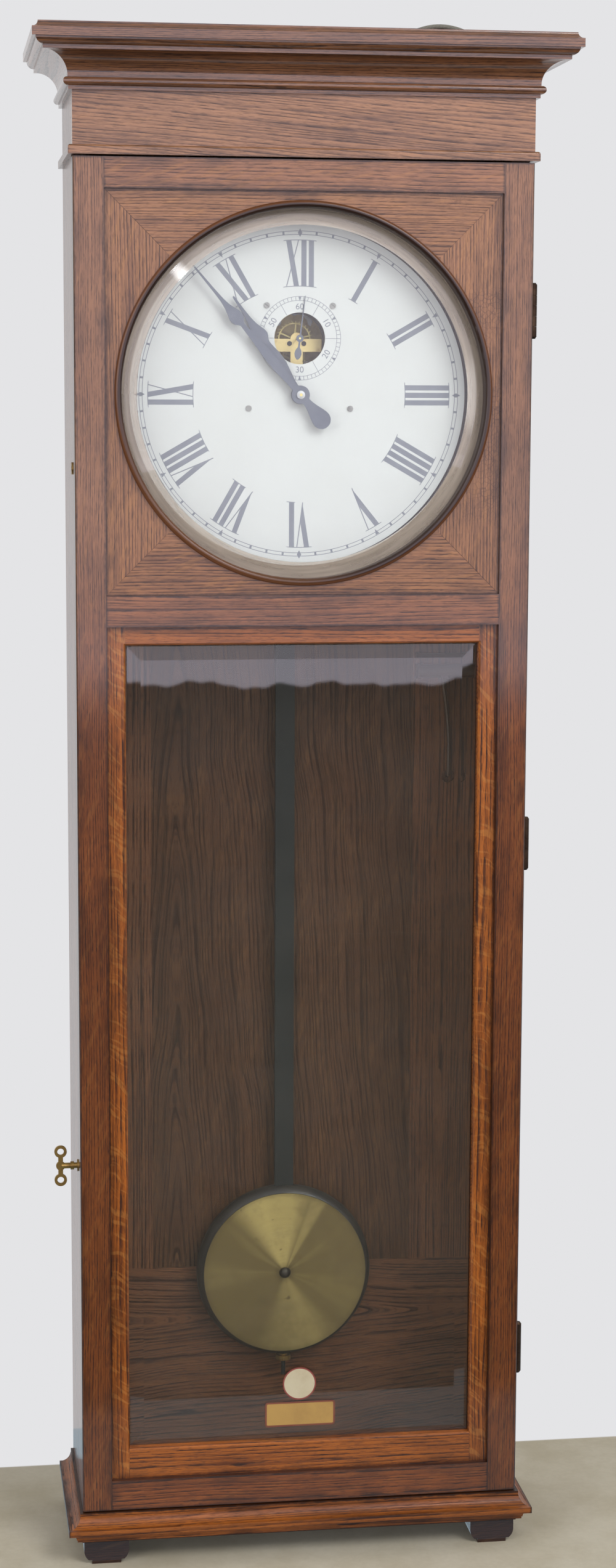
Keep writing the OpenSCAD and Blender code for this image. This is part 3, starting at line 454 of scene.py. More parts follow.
    def make(self) -> Material:
        """Builds the material.

        Returns:
            The material.
        """
        sheet = Sheet(f"oak {self.node}")
        place = sheet.place()
        x, y, z = sheet.parts(place)
        run, second = self.lay(sheet, place)
        rows = (run.across + run.deep * 0.4) / self.pitch + run.noise(2, 70) * 4.0
        saw = sheet.math("FRACT", rows)
        fibre = run.noise(50, 1100)
        dash = run.noise(1 / self.reach, 1.5 / self.pitch)
        pores = sheet.ease(saw, 0.02, 0.45, 1, 0) * sheet.ease(dash, 0.44, 0.58)
        pores = (pores + sheet.ease(run.noise(130, 1500), 0.54, 0.66) * 0.5) * self.pores
        fleck = self.flecks(run, second)
        tone = saw * 0.2 + run.noise(9, 420, 3) * (0.5 * self.figure) + fibre * 0.3
        tone = sheet.ease(tone + run.noise(5, 60, 2) * 0.35,
                          0.25 + 0.1 * self.figure, 0.62 + 0.12 * self.figure)
        # painted sheen: pales the wood towards the top, standing in for the bright room mirrored
        # in the varnish there
        up = sheet.ease(z, *SHEEN_FROM_TO) * self.bleach
        pale = sheet.blend(tone, mix(self.dark, SHEEN_LATE, 0.42),
                           mix(self.light, SHEEN_EARLY, 0.5))
        patch = sheet.noise(sheet.vector(x * 6, y * 6, z * 5), detail=4, rough=0.6)
        blotch = sheet.ease(run.noise(13, 75, 3, 0.6), 0.46, 0.72)
        layers = [
            (up, pale),
            (fleck * 0.45, mix(self.light, RAY, 0.5)),
            (sheet.math("MINIMUM", pores, 1.0) * (0.9 - up * 0.15), PORE),
            (sheet.ease(patch, 0.4, 0.7) * 0.24 + blotch * 0.26, STAIN)]
        if self.crazed:
            cracks = sheet.add("ShaderNodeTexVoronoi", {"feature": "DISTANCE_TO_EDGE"},
                               {"Vector": place, "Scale": 210.0})
            where = sheet.ease(sheet.noise(place, 9, 2), 0.5, 0.62) * sheet.ease(x, 0.02, 0.16)
            layers.append((sheet.ease(cracks, 0.0, 0.09, 0.55, 0) * where, CRACK))
        # grime and painted shade along the edges
        if self.soil:
            layers.append((self.edges(sheet, place), GRIME_AND_SHADE))
        return sheet.painted({
            "Base Color": sheet.coats(sheet.blend(tone, self.dark, self.light), *layers),
            "Roughness": 0.34 + fibre * 0.12 + pores * 0.2 - fleck * 0.06,
            "Coat Weight": self.gloss, "Coat Roughness": 0.12, "Specular IOR Level": self.shine,
            "Normal": sheet.bump(tone * 0.25 - pores, 0.00022, 0.7)})


@dataclass(frozen=True)
class RingOak:
    """The dial's turned ring: dark on its slope, with a painted golden highlight along its outer
    edge and painted light towards its lower left.

    Attributes:
        name: The material's name.
        centre: Height of its middle, in metres.
        reach: Its outer radius, in metres.
    """

    name: str
    centre: float
    reach: float

    def make(self) -> Material:
        """Builds the material.

        Returns:
            The material.
        """
        sheet = Sheet(self.name)
        place = sheet.place()
        x, _, z = sheet.parts(place)
        z = z - self.centre
        radius = sheet.span(x, z)
        mottle = sheet.noise(sheet.vector(x * 18, radius * 60, z * 18), detail=4, rough=0.6)
        lines = sheet.noise(sheet.vector(x * 30, radius * 900, z * 30), detail=2)
        # painted highlight: a golden band along the outer edge
        edge = sheet.ease(radius - mottle * 0.002, self.reach - 0.0045, self.reach - 0.0025)
        # painted light: lighter towards the lower left
        lit_lower_left = sheet.ease(x * 0.7 + z, -0.24, -0.12, 1, 0)
        return sheet.painted({
            "Base Color": sheet.coats(
                paint(30, 16, 10), (mottle, paint(66, 38, 22)),
                (lit_lower_left * 0.7, paint(128, 80, 42)), (edge * 0.85, paint(122, 74, 42)),
                (lines * 0.3, paint(26, 13, 8))),
            "Roughness": 0.34 + mottle * 0.12, "Coat Weight": 0.35, "Coat Roughness": 0.12,
            "Specular IOR Level": 0.2, "Normal": sheet.bump(lines, 0.00006, 0.5)})


@dataclass(frozen=True)
class Metal:
    """A metal with brush marks, spots and a duller tone in patches.

    Attributes:
        name: The material's name.
        bright: Colour where it is clean.
        dull: Colour where it is tarnished.
        rough: Roughness of the clean metal.
        metallic: How metallic it is, from 0 to 1.
        brushed: Stretch of the brush marks along X, Y and Z, in marks per metre.
        tarnish: How much of it is dull, from 0 to 1.
        dark_heads: Middles of dark screw heads, across and in height, in metres.
        head: Radius of those heads, in metres.
    """

    name: str
    bright: Colour
    dull: Colour
    rough: float = 0.32
    metallic: float = 1.0
    brushed: Point = (900, 900, 900)
    tarnish: float = 0.4
    dark_heads: tuple[tuple[float, float], ...] = ()
    head: float = 0.00245

    def make(self) -> Material:
        """Builds the material.

        Returns:
            The material.
        """
        sheet = Sheet(self.name)
        place = sheet.place()
        x, y, z = sheet.parts(place)
        ways = [part * stretch for part, stretch in zip((x, y, z), self.brushed)]
        marks = sheet.noise(sheet.vector(*ways), detail=3)
        patch = sheet.ease(sheet.noise(place, 55, 4, 0.6), 0.62 - self.tarnish * 0.4, 0.72)
        spots = sheet.ease(sheet.noise(place, 420, 2), 0.66, 0.72)
        heads = [(sheet.span(x - across, z - up) < self.head, paint(52, 46, 50))
                 for across, up in self.dark_heads]
        return sheet.painted({
            "Base Color": sheet.coats(self.bright, (patch * 0.8, self.dull),
                                      (marks * 0.3, self.dull), (spots * 0.6, self.dull), *heads),
            "Metallic": self.metallic, "Roughness": self.rough + patch * 0.14 + marks * 0.1,
            "Normal": sheet.bump(marks, 0.00004, 0.5)})


@dataclass(frozen=True)
class TurnedBrass:
    """The bob's brass face, turned on a lathe, with painted highlight wedges round its middle
    where the turning would shine.

    Attributes:
        name: The material's name.
        centre: Middle of the turning, in metres.
        reach: Radius of the face, in metres.
    """

    name: str
    centre: Vector
    reach: float

    def make(self) -> Material:
        """Builds the material.

        Returns:
            The material.
        """
        sheet = Sheet(self.name)
        place = sheet.place()
        x, _, z = sheet.parts(place)
        x, z = x - self.centre.x, z - self.centre.z
        angle, radius = sheet.math("ARCTAN2", z, x), sheet.span(x, z)
        rise = sheet.math("SINE", angle)
        # painted highlight: bright wedges above and below the middle, stronger above, and a narrow
        # bright streak
        wedge = sheet.noise(sheet.vector(sheet.math("COSINE", angle) * 1.6, rise * 1.6,
                                         radius * 3), 1.7, 2)
        sheen = sheet.ease(abs(sheet.math("COSINE", angle - 1.75)), 0.8, 1.0)
        sheen = sheen * (rise * 0.2 + 0.48) + sheet.ease(wedge, 0.45, 0.7) * 0.1
        sheen = sheen + sheet.ease(sheet.math("COSINE", angle - 1.13), 0.993, 1.0) * 0.3
        grooves = sheet.noise(sheet.vector(radius * 900, angle * 0.8, 0.0), detail=2)
        stain = sheet.ease(sheet.noise(place, 24, 5, 0.65), 0.46, 0.7)
        spots = sheet.ease(sheet.noise(place, 150, 2), 0.7, 0.78)
        colour = sheet.coats(
            paint(114, 100, 62), (sheen, paint(214, 194, 124)),
            (grooves * 0.25, paint(96, 78, 44)), (stain * 0.45, paint(98, 82, 48)),
            # painted shade round the middle, and a dark spot at the middle itself
            (sheet.ease(radius, 0.004, 0.014, 0.5, 0), paint(46, 36, 22)),
            (sheet.ease(radius, 0.0058, 0.0063, 0.92, 0), paint(40, 38, 38)),
            (spots * 0.6, paint(66, 52, 34)),
            (sheet.ease(radius, self.reach * 0.93, self.reach) * 0.35, paint(70, 58, 34)))
        return sheet.painted({
            "Base Color": colour, "Metallic": 0.75, "Roughness": 0.36 + stain * 0.15,
            "Normal": sheet.bump(grooves, 0.00005, 0.6)})


@dataclass(frozen=True)
class Glass:
    """Clear glass that lets lamp light through, with a little dust, and a painted reflection on
    the bevel of a round glass.

    Attributes:
        name: The material's name.
        tint: Colour of the glass.
        haze: How much dust shows, from 0 to 1.
        bevel_from: Radius where the painted reflection on a round glass's bevel begins, in metres,
            or 0 for none.
        centre: Height of the middle of a round glass, in metres.
    """

    name: str
    tint: Colour = (0.96, 0.98, 0.97)
    haze: float = 0.012
    bevel_from: float = 0.0
    centre: float = 0.0

    def make(self) -> Material:
        """Builds the material.

        Returns:
            The material.
        """
        sheet = Sheet(self.name)
        place = sheet.place()
        clear = sheet.surface({"Base Color": self.tint, "Roughness": 0.0, "IOR": 1.48,
                               "Transmission Weight": 1.0})
        dust = {"Base Color": paint(196, 190, 184), "Roughness": 0.6}
        smear = sheet.ease(sheet.noise(place, 7, 4, 0.6), 0.3, 0.8)
        share = smear * self.haze + self.haze * 0.4
        if self.bevel_from:
            x, _, z = sheet.parts(place)
            z = z - self.centre
            radius = sheet.span(x, z)
            streaks = sheet.noise(sheet.vector(sheet.math("ARCTAN2", z, x) * 3, radius * 260,
                                               0.0), detail=2)
            # painted reflection: the bevel turns a streaky beige, standing in for the room
            # mirrored in it
            bevel_reflection = sheet.ease(radius, self.bevel_from, self.bevel_from + 0.0006, 0, 0.42)
            share = share + bevel_reflection * (streaks * 0.5 + 0.75)
            dust = {"Base Color": sheet.blend(streaks, paint(176, 158, 142),
                                              paint(214, 200, 184)), "Roughness": 0.35}
        through = sheet.add("ShaderNodeBsdfTransparent", inputs={"Color": (0.93, 0.95, 0.94)})
        shadow = sheet.add("ShaderNodeLightPath", output="Is Shadow Ray")
        body = sheet.mixed(share, clear, sheet.surface(dust))
        return sheet.done(sheet.mixed(shadow, body, through))


@dataclass(frozen=True)
class Coating:
    """Paint, enamel, lacquer, rubber or moulded plastic, with a fine grain and grime.

    Attributes:
        name: The material's name.
        colour: The clean colour.
        grime: The colour of the grime.
        rough: Roughness.
        soiled: How much grime there is, from 0 to 1.
        scale: How fine the grime's pattern is.
        grain: Depth of the surface's grain, in metres.
        coat: Weight of a clear coat.
        shine: Specular level under the coat.
    """

    name: str
    colour: Colour
    grime: Colour
    rough: float = 0.4
    soiled: float = 0.3
    scale: float = 20.0
    grain: float = 0.00003
    coat: float = 0.0
    shine: float = 0.5

    def make(self) -> Material:
        """Builds the material.

        Returns:
            The material.
        """
        sheet = Sheet(self.name)
        place = sheet.place()
        cloud = sheet.ease(sheet.noise(place, self.scale, 5, 0.6), 0.35, 0.75)
        fine = sheet.noise(place, 1300, 2)
        return sheet.painted({
            "Base Color": sheet.coats(self.colour, (cloud * self.soiled, self.grime),
                                      (fine * 0.12, self.grime)),
            "Roughness": self.rough + cloud * 0.1, "Coat Weight": self.coat,
            "Coat Roughness": 0.08, "Specular IOR Level": self.shine,
            "Normal": sheet.bump(fine, self.grain, 0.6)})


@dataclass(frozen=True)
class Winding:
    """Silk-covered wire wound on a spool that lies along X.

    Attributes:
        name: The material's name.
        colour: Colour of the silk.
        pitch: Distance between turns, in metres.
    """

    name: str
    colour: Colour
    pitch: float = 0.0007

    def make(self) -> Material:
        """Builds the material.

        Returns:
            The material.
        """
        sheet = Sheet(self.name)
        place = sheet.place()
        run = sheet.parts(place)[0]
        turns = sheet.math("SINE", run * (2 * math.pi / self.pitch)) * 0.5 + 0.5
        wear = sheet.noise(place, 90, 3)
        return sheet.painted({
            "Base Color": sheet.coats(paint(40, 22, 14), (turns, self.colour),
                                      (wear * 0.5, paint(70, 46, 30))),
            "Roughness": 0.62, "Normal": sheet.bump(turns, 0.0002)})


@dataclass(frozen=True)
class Braid:
    """Cotton braid, drawn round the cord on its own map: U once round, V in diameters.

    Attributes:
        name: The material's name.
        strands: Strands each way round the cord.
        lean: Turns of a strand for each diameter along the cord.
    """

    name: str
    strands: int = 8
    lean: float = 1.6

    def make(self) -> Material:
        """Builds the material.

        Returns:
            The material.
        """
        sheet = Sheet(self.name)
        u, v, _ = sheet.parts(sheet.add("ShaderNodeTexCoord", output="UV"))
        one, two = (sheet.math("SINE", (u * self.strands + v * lean) * (2 * math.pi))
                    for lean in (self.lean, -self.lean))
        weave = one * two * 0.5 + 0.5
        fuzz = sheet.noise(sheet.vector(u * 40, v * 14, 0.0), 1, 3)
        return sheet.painted({
            "Base Color": sheet.coats(paint(70, 66, 58), (weave, paint(168, 166, 154)),
                                      (fuzz * 0.5, paint(118, 114, 104))),
            "Roughness": 0.85, "Normal": sheet.bump(weave, 0.0003)})


class Bench:
    """Small modelling steps, each made with Blender's own operators."""

    @staticmethod
    def clear() -> None:
        """Leaves edit mode and deselects everything."""
        if bpy.context.object and bpy.context.object.mode != "OBJECT":
            bpy.ops.object.mode_set(mode="OBJECT")
        bpy.ops.object.select_all(action="DESELECT")

    @staticmethod
    def only(piece: Piece) -> None:
        """Selects one piece and makes it active.

        Args:
            piece: The piece.
        """
        Bench.clear()
        piece.select_set(True)
        bpy.context.view_layer.objects.active = piece

    @staticmethod
    def add(primitive: Callable, **sizes: Any) -> Piece:
        """Adds a primitive with nothing else selected.

        Args:
            primitive: Blender's operator.
            sizes: Sizes and place, as the operator takes them.

        Returns:
            The new piece.
        """
        Bench.clear()
        primitive(**sizes)
        return bpy.context.object

    @staticmethod
    def settle(piece: Piece, **place: Sequence[float]) -> Piece:
        """Moves a piece's place, turn and scale into its mesh.

        Args:
            piece: The piece.
            place: Its new location, rotation_euler or scale, where these change first.

        Returns:
            The piece.
        """
        for key, value in place.items():
            setattr(piece, key, value)
        Bench.only(piece)
        bpy.ops.object.transform_apply(location=True, rotation=True, scale=True)
        return piece

    @staticmethod
    @contextmanager
    def editing(piece: Piece) -> Iterator[None]:
        """Keeps a piece in edit mode, at first with all of it selected.

        Args:
            piece: The piece.

        Yields:
            Nothing, while the piece is edited.
        """
        Bench.only(piece)
        bpy.ops.object.mode_set(mode="EDIT")
        bpy.ops.mesh.select_all(action="SELECT")
        yield
        bpy.ops.object.mode_set(mode="OBJECT")

    @staticmethod
    def pick(piece: Piece, wanted: Callable[[Vector], bool]) -> None:
        """In edit mode, selects the vertices whose place fits.

        Args:
            piece: The piece that is being edited.
            wanted: Says whether a place is wanted.
        """
        bpy.ops.mesh.select_all(action="DESELECT")
        bpy.ops.object.mode_set(mode="OBJECT")
        for vertex in piece.data.vertices:
            vertex.select = wanted(vertex.co)
        bpy.ops.object.mode_set(mode="EDIT")

    @staticmethod
    def join(parts: Sequence[Piece], name: str) -> Piece:
        """Joins meshes into one piece.

        Args:
            parts: The meshes.
            name: Name of the joined piece.

        Returns:
            The piece.
        """
        Bench.only(parts[0])
        for part in parts:
            part.select_set(True)
        bpy.ops.object.join()
        parts[0].name = name
        return parts[0]


def dress(finish: Finish, *nodes: str) -> None:
    """Gives CAD nodes one finish.

    Args:
        finish: The finish.
        nodes: The nodes' names.
    """
    material = finish.make()
    for node in nodes:
        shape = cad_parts[node]
        if shape.material_slots:
            for slot in shape.material_slots:
                slot.material = material
        else:
            shape.data.materials.append(material)


def board(oak: Oak) -> None:
    """Gives the boards of a node their own oak."""
    dress(oak, oak.node)


def ease_edges(width: float, *nodes: str) -> None:
    """Rounds the sharp edges of sawn boards with a modifier.

    Args:
        width: Width of the easing in millimetres.
        nodes: Names of the boards' CAD nodes.
    """
    for node in nodes:
        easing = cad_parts[node].modifiers.new("eased edges", "BEVEL")
        easing.width = width * MM
        easing.segments = 2
        easing.limit_method = "ANGLE"
        easing.angle_limit = math.radians(50)
        easing.use_clamp_overlap = True


@dataclass
class Lens:
    """The camera, solved from the corners of the case in the photograph.

    Attributes:
        place: Where it stands, in metres.
        yaw: Turn to the right, in radians.
        pitch: Tilt upwards, in radians.
        roll: Turn round its own axis, in radians.
        focal: Focal length in pixels of the full picture.
        tall: Height of the picture in pixels.
        sensor: Length of its sensor's longer side in millimetres.
    """

    place: Point = (-0.3777, -2.7397, 1.1865)
    yaw: float = 0.14192146
    pitch: float = -0.13981955
    roll: float = 0.00395853
    focal: float = 4428.9
    tall: int = 2545
    sensor: float = 36.0

    def build(self) -> None:
        """Adds the camera to the scene."""
        data = bpy.data.cameras.new("camera")
        camera = bpy.data.objects.new("camera", data)
        bpy.context.scene.collection.objects.link(camera)
        ahead = Vector((math.sin(self.yaw) * math.cos(self.pitch),
                        math.cos(self.yaw) * math.cos(self.pitch), math.sin(self.pitch)))
        level = Vector((math.cos(self.yaw), -math.sin(self.yaw), 0))
        above = level.cross(ahead)
        right = level * math.cos(self.roll) + above * math.sin(self.roll)
        above = above * math.cos(self.roll) - level * math.sin(self.roll)
        turn = Matrix((right, above, -ahead)).transposed().to_4x4()
        camera.matrix_world = Matrix.Translation(self.place) @ turn
        data.sensor_fit = "AUTO"
        data.sensor_width = self.sensor
        data.lens = self.focal / self.tall * self.sensor
        data.clip_start = 0.05
        data.clip_end = 60
        bpy.context.scene.camera = camera
        LOG.info("camera stands at %s", self.place)


@dataclass
class Studio:
    """Concrete floor in front, white behind, soft lamps, and the room that the glass mirrors.

    Attributes:
        edge: Where the grey floor ends behind the clock, in metres.
        ambient: Strength of the light from all round.
        bright: Strength of the bright wall that the upper half of the clock mirrors.
        bright_from: Height where that bright wall begins, in metres.
        ends: How far the mirrored room goes to the left and right, in metres.
        glare_y: Depth where the bright cards for the dial's bevel hang, in metres.
        glare_in: How far in from the rim their images lie on the bevel, in millimetres.
        bevel: Width and fall of the dial glass's bevel, in millimetres.
    """

    edge: float = 0.2
    ambient: float = 0.5
    bright: float = 2.7
    bright_from: float = 0.555
    ends: tuple[float, float] = (-4, 6)
    glare_y: float = -3.25
    glare_in: float = 8.0
    bevel: tuple[float, float] = (15.5, 2.4)

    def lamp(self, name: str, place: Point, aim: Point, size: float, power: float) -> None:
        """Adds one soft lamp.

        Args:
            name: The lamp's name.
            place: Where it hangs.
            aim: What it points at.
            size: Width of its panel.
            power: Power in watts.
        """
        data = bpy.data.lights.new(name, "AREA")
        data.size = size
        data.energy = power
        lamp = bpy.data.objects.new(name, data)
        lamp.location = place
        lamp.rotation_mode = "QUATERNION"
        lamp.rotation_quaternion = (Vector(aim) - Vector(place)).to_track_quat("-Z", "Y")
        bpy.context.scene.collection.objects.link(lamp)

    def floor(self) -> None:
        """Adds the floor: concrete up to the edge and plain white behind it."""
        floor = Bench.add(bpy.ops.mesh.primitive_plane_add, size=30)
        floor.name = "floor"
        sheet = Sheet("floor paint")
        place = sheet.place()
        behind = sheet.ease(sheet.parts(place)[1], self.edge, self.edge + 0.004)
        cloud = sheet.ease(sheet.noise(place, 9, 6, 0.6), 0.3, 0.7)
        concrete = sheet.coats(paint(198, 188, 164), (cloud, paint(216, 208, 188)),
                               (sheet.noise(place, 160, 3, 0.6) * 0.3, paint(158, 148, 126)))
        matt = sheet.surface({"Base Color": concrete, "Roughness": 0.85,
                              "Specular IOR Level": 0.15})
        floor.data.materials.append(sheet.done(sheet.mixed(behind, matt, sheet.glow(WHITE, 1.0))))

    def card(self, name: str, low: Point, high: Point, colour: Colour, strength: float,
             wave: float = 0.0, soft: bool = False) -> None:
        """Adds a flat card that only mirror images see.

        Args:
            name: The card's name.
            low: Its lowest corner.
            high: Its highest corner, level with the lowest one way.
            colour: Its colour.
            strength: How bright it shines.
            wave: How far an upright card's lower edge waves, in metres.
            soft: Whether it fades out to a round spot.
        """
        wide, deep, tall = (b - a for a, b in zip(low, high))
        centre = [(a + b) / 2 for a, b in zip(low, high)]
        upright = tall > deep
        card = Bench.settle(
            Bench.add(bpy.ops.mesh.primitive_plane_add, size=1, location=centre,
                      rotation=(math.pi / 2 if upright else 0, 0, 0)),
            scale=(wide, tall if upright else deep, 1))
        card.name = name
        sheet = Sheet(f"{name} glow")
        glow = sheet.glow(colour, strength)
        if soft or wave:
            x, _, z = sheet.parts(sheet.place())
            clear = sheet.add("ShaderNodeBsdfTransparent")
        if soft:
            spread = sheet.span((x - centre[0]) / wide, (z - centre[2]) / tall)
            glow = sheet.mixed(sheet.ease(spread, 0.1, 0.5), glow, clear)
        if wave:
            edge = sheet.noise(sheet.vector(x * 7, 0.0, 0.0), detail=2, rough=0.6) * wave
            glow = sheet.mixed(sheet.ease(z - low[2] - edge, 0.0, 0.012), clear, glow)
        card.data.materials.append(sheet.done(glow))
        for ray in ("camera", "diffuse", "transmission", "shadow", "volume_scatter"):
            setattr(card, f"visible_{ray}", False)

    def glare(self, name: str, turn: float, size: float, strength: float, tall: float = 1) -> None:
        """Hangs a bright card where the bevel of the dial glass mirrors it to the camera.

        Args:
            name: The card's name.
            turn: Where on the bevel its image is, in degrees from the right, upwards.
            size: Width of the card in metres.
            strength: How bright it shines.
            tall: Height of the card in widths.
        """
        low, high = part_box("dial_glass")
        wide, fall = self.bevel
        angle, tilt = math.radians(turn), math.atan2(fall, wide)
        out = Vector((math.cos(angle), 0, math.sin(angle)))
        spot = Vector((0, low[1], middle("dial_glass").z)) + out * (high[0] - self.glare_in * MM)
        normal = out * math.sin(tilt) - Vector((0, math.cos(tilt), 0))
        to_eye = (Vector(Lens.place) - spot).normalized()
        away = 2 * normal.dot(to_eye) * normal - to_eye
        centre = spot + away * ((self.glare_y - spot.y) / away.y)
        half = Vector((size / 2, 0, size * tall / 2))
        self.card(name, centre - half, centre + half, WHITE, strength, soft=True)
        LOG.info("%s hangs at %.2f, %.2f", name, centre.x, centre.z)

    def world(self) -> None:
        """Lights the room from all round, and shows it white to camera, mirrors and glass."""
        sheet = Sheet("studio", world=True)
        path = sheet.add("ShaderNodeLightPath").out.node.outputs
        camera, glossy, through = (
            Sock(sheet, path[f"Is {ray} Ray"]) for ray in ("Camera", "Glossy", "Transmission"))
        seen = sheet.math("MAXIMUM", camera, sheet.math("MAXIMUM", glossy, through))
        room, white = (
            sheet.add("ShaderNodeBackground", inputs={"Color": colour, "Strength": strength})
            for colour, strength in (((1.0, 0.99, 0.985), self.ambient), (WHITE, 1.0)))
        bpy.context.scene.world = sheet.done(sheet.mixed(seen, room, white))

    def build(self) -> None:
        """Adds the floor, the mirrored room, the lamps and the light from all round."""
        self.floor()
        left, right = self.ends
        low, high = self.bright_from - 0.035, self.bright_from + 0.12
        grey, lavender = paint(58, 56, 58), paint(238, 233, 250)
        for name, start, end, colour, strength, wave in (
                ("dark_room", (-3.32, -0.2), (-3.32, self.bright_from + 0.1), grey, 0.6, 0),
                ("slate_floor", (-0.49, 0.003), (0.3, 0.003), paint(124, 138, 146), 2.4, 0),
                ("dark_floor", (-3.3, 0.003), (-0.49, 0.003), grey, 0.6, 0),
                ("bright_wall", (-3.3, high), (-3.3, 3.6), lavender, self.bright, 0),
                ("bright_strip", (-3.3, low), (-3.3, high), lavender, self.bright * 1.8, 0.08)):
            self.card(name, (left, *start), (right, *end), colour, strength, wave)
        self.glare("glare_upper_left", 136, 0.17, 42)
        self.glare("glare_right", 0, 0.1, 14, 8.0)
        self.world()
        self.lamp("key", (1.6, -3.0, 3.2), (0, 0, 0.9), 1.6, 70)
        self.lamp("fill", (-2.6, -2.2, 2.0), (0, 0, 0.7), 2.0, 26)
        bpy.context.scene.view_settings.view_transform = "Standard"
        LOG.info("studio is lit")


@dataclass
class SupplyCord:
    """The cloth-covered supply cord behind the crown, with its coil.

    The route's points and the coil's formula are those of the part's source, in millimetres.

    Attributes:
        top_board: Height of the top board.
        thick: Diameter of the cord.
        coil_x: Middle of the coil across.
        coil_y: Middle of the coil in depth.
        coil_size: Middle radius of the coil, in diameters of the cord.
        gap: Space between two turns.
        lift: How far the coil stands off the top board.
        turns: Turns in one layer.
        layers: Layers of the coil.
        steps: Points in one turn.
        ring_sides: Corners of the cord's round section.
        route: Points from the grommet to the coil, measured from Y 0 and from the top board.
        plug_route: Places across and heights from the coil to the plug.
    """

    top_board: float = 1512.0
    thick: float = 4.5
    coil_x: float = 158.0
    coil_y: float = 42.0
    coil_size: float = 5.6
    gap: float = 0.6
    lift: float = 0.3
    turns: float = 3.0625
    layers: int = 4
    steps: int = 24
    ring_sides: int = 12
    route: tuple[Point, ...] = (
        (99, 1, -1), (99, 1, 5), (99, 1, 13), (101, 1, 21), (106, 1, 29), (113, 1, 34),
        (122, 1, 38), (133, 1, 41), (144, 1, 42), (155, 1, 41), (166, 1, 38), (176, 2, 33),
        (184, 4, 25), (189, 9, 15), (191, 16, 7), (191, 24, 3))
    plug_route: tuple[tuple[float, float], ...] = ((142, 17), (132, 15.5), (121, 14), (112, 14))

    def coil_point(self, step: float) -> Vector:
        """A point of the coil.

        Args:
            step: Steps from the start of the coil.

        Returns:
            The point in millimetres.
        """
        pitch = self.thick + self.gap
        outer = self.thick * self.coil_size + pitch * self.turns / 2
        turn = step / self.steps
        layer = min(self.layers - 1, int(turn / self.turns + 1e-9))
        inside = turn - layer * self.turns
        radius = outer - pitch * (inside if layer % 2 == 0 else self.turns - inside)
        fold = math.floor(turn / self.turns + 0.5)
        past = turn - fold * self.turns
        climb = fold - 1 + min(1.0, max(0.0, 2 * past + 0.5))
        climb = 0 if fold < 1 else self.layers - 1 if fold > self.layers - 1 else climb
        angle = math.radians(360 / self.steps * step)
        return Vector((self.coil_x + radius * math.cos(angle),
                       self.coil_y + radius * math.sin(angle),
                       self.top_board + self.lift + self.thick / 2 + pitch * climb))

    def centreline(self) -> list[Vector]:
        """All the points of the cord, in metres.

        Returns:
            The points from the grommet to the plug.
        """
        steps = round(self.turns * self.layers * self.steps)
        points = [Vector((x, y, self.top_board + z)) for x, y, z in self.route]
        first, last = self.coil_point(0), self.coil_point(steps)
        points += [first - Vector((0, 2.2 * self.thick, 0)), first - Vector((0, self.thick, 0))]
        points += [self.coil_point(step) for step in range(steps + 1)]
        points += [last - Vector((self.thick, 0, 0)), last - Vector((2 * self.thick, 0, 0))]
        points += [Vector((x, last.y, self.top_board + z)) for x, z in self.plug_route]
        return [point * MM for point in self.smooth(points)]

    def smooth(self, points: list[Vector]) -> list[Vector]:
        """Adds two points between each pair, on a smooth curve through all of them.

        Args:
            points: The given points.

        Returns:
            The denser list.
        """
        dense = []
        for i in range(len(points) - 1):
            before = points[max(i - 1, 0)]
            start, end = points[i], points[i + 1]
            after = points[min(i + 2, len(points) - 1)]
            for part in (0, 1 / 3, 2 / 3):
                square, cube = part * part, part ** 3
                dense.append(0.5 * (2 * start + (end - before) * part
                                    + (2 * before - 5 * start + 4 * end - after) * square
                                    + (3 * start - before - 3 * end + after) * cube))
        return dense + [points[-1]]

    def build(self) -> None:
        line = self.centreline()
        sides, radius = self.ring_sides, self.thick / 2 * MM
        turns = [2 * math.pi * k / sides for k in range(sides)]
        side = Vector((1, 0, 0))
        rings, lengths, walked = [], [], 0.0
        for i, point in enumerate(line):
            ahead = (line[min(i + 1, len(line) - 1)] - line[max(i - 1, 0)]).normalized()
            side = (side - ahead * side.dot(ahead)).normalized()
            up = ahead.cross(side)
            rings.append([point + (side * math.cos(t) + up * math.sin(t)) * radius for t in turns])
            walked += (point - line[i - 1]).length if i else 0.0
            lengths.append(walked)
        vertices = [corner for ring in rings for corner in ring]
        faces = [(i * sides + k, i * sides + (k + 1) % sides, (i + 1) * sides + (k + 1) % sides,
                  (i + 1) * sides + k) for i in range(len(line) - 1) for k in range(sides)]
        caps = [tuple(range(sides - 1, -1, -1)),
                tuple((len(line) - 1) * sides + k for k in range(sides))]
        mesh = bpy.data.meshes.new("supply_cord_braided")
        mesh.from_pydata(vertices, [], faces + caps)
        chart = mesh.uv_layers.new(name="UVMap")
        for face in mesh.polygons:
            for corner, loop in zip(face.vertices, face.loop_indices):
                ring, k = divmod(corner, sides)
                if k == 0 and max(v % sides for v in face.vertices) == sides - 1:
                    k = sides
                chart.data[loop].uv = (k / sides, lengths[ring] / (self.thick * MM))
        cord = bpy.data.objects.new("supply_cord_braided", mesh)
        bpy.context.scene.collection.objects.link(cord)
        Bench.only(cord)
        bpy.ops.object.shade_smooth()
        cord.data.materials.append(Braid("cotton braid").make())
        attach(cord, "case")
        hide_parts("supply_cord", "cord_coil")
        LOG.info("cord is %.3f m long", lengths[-1])


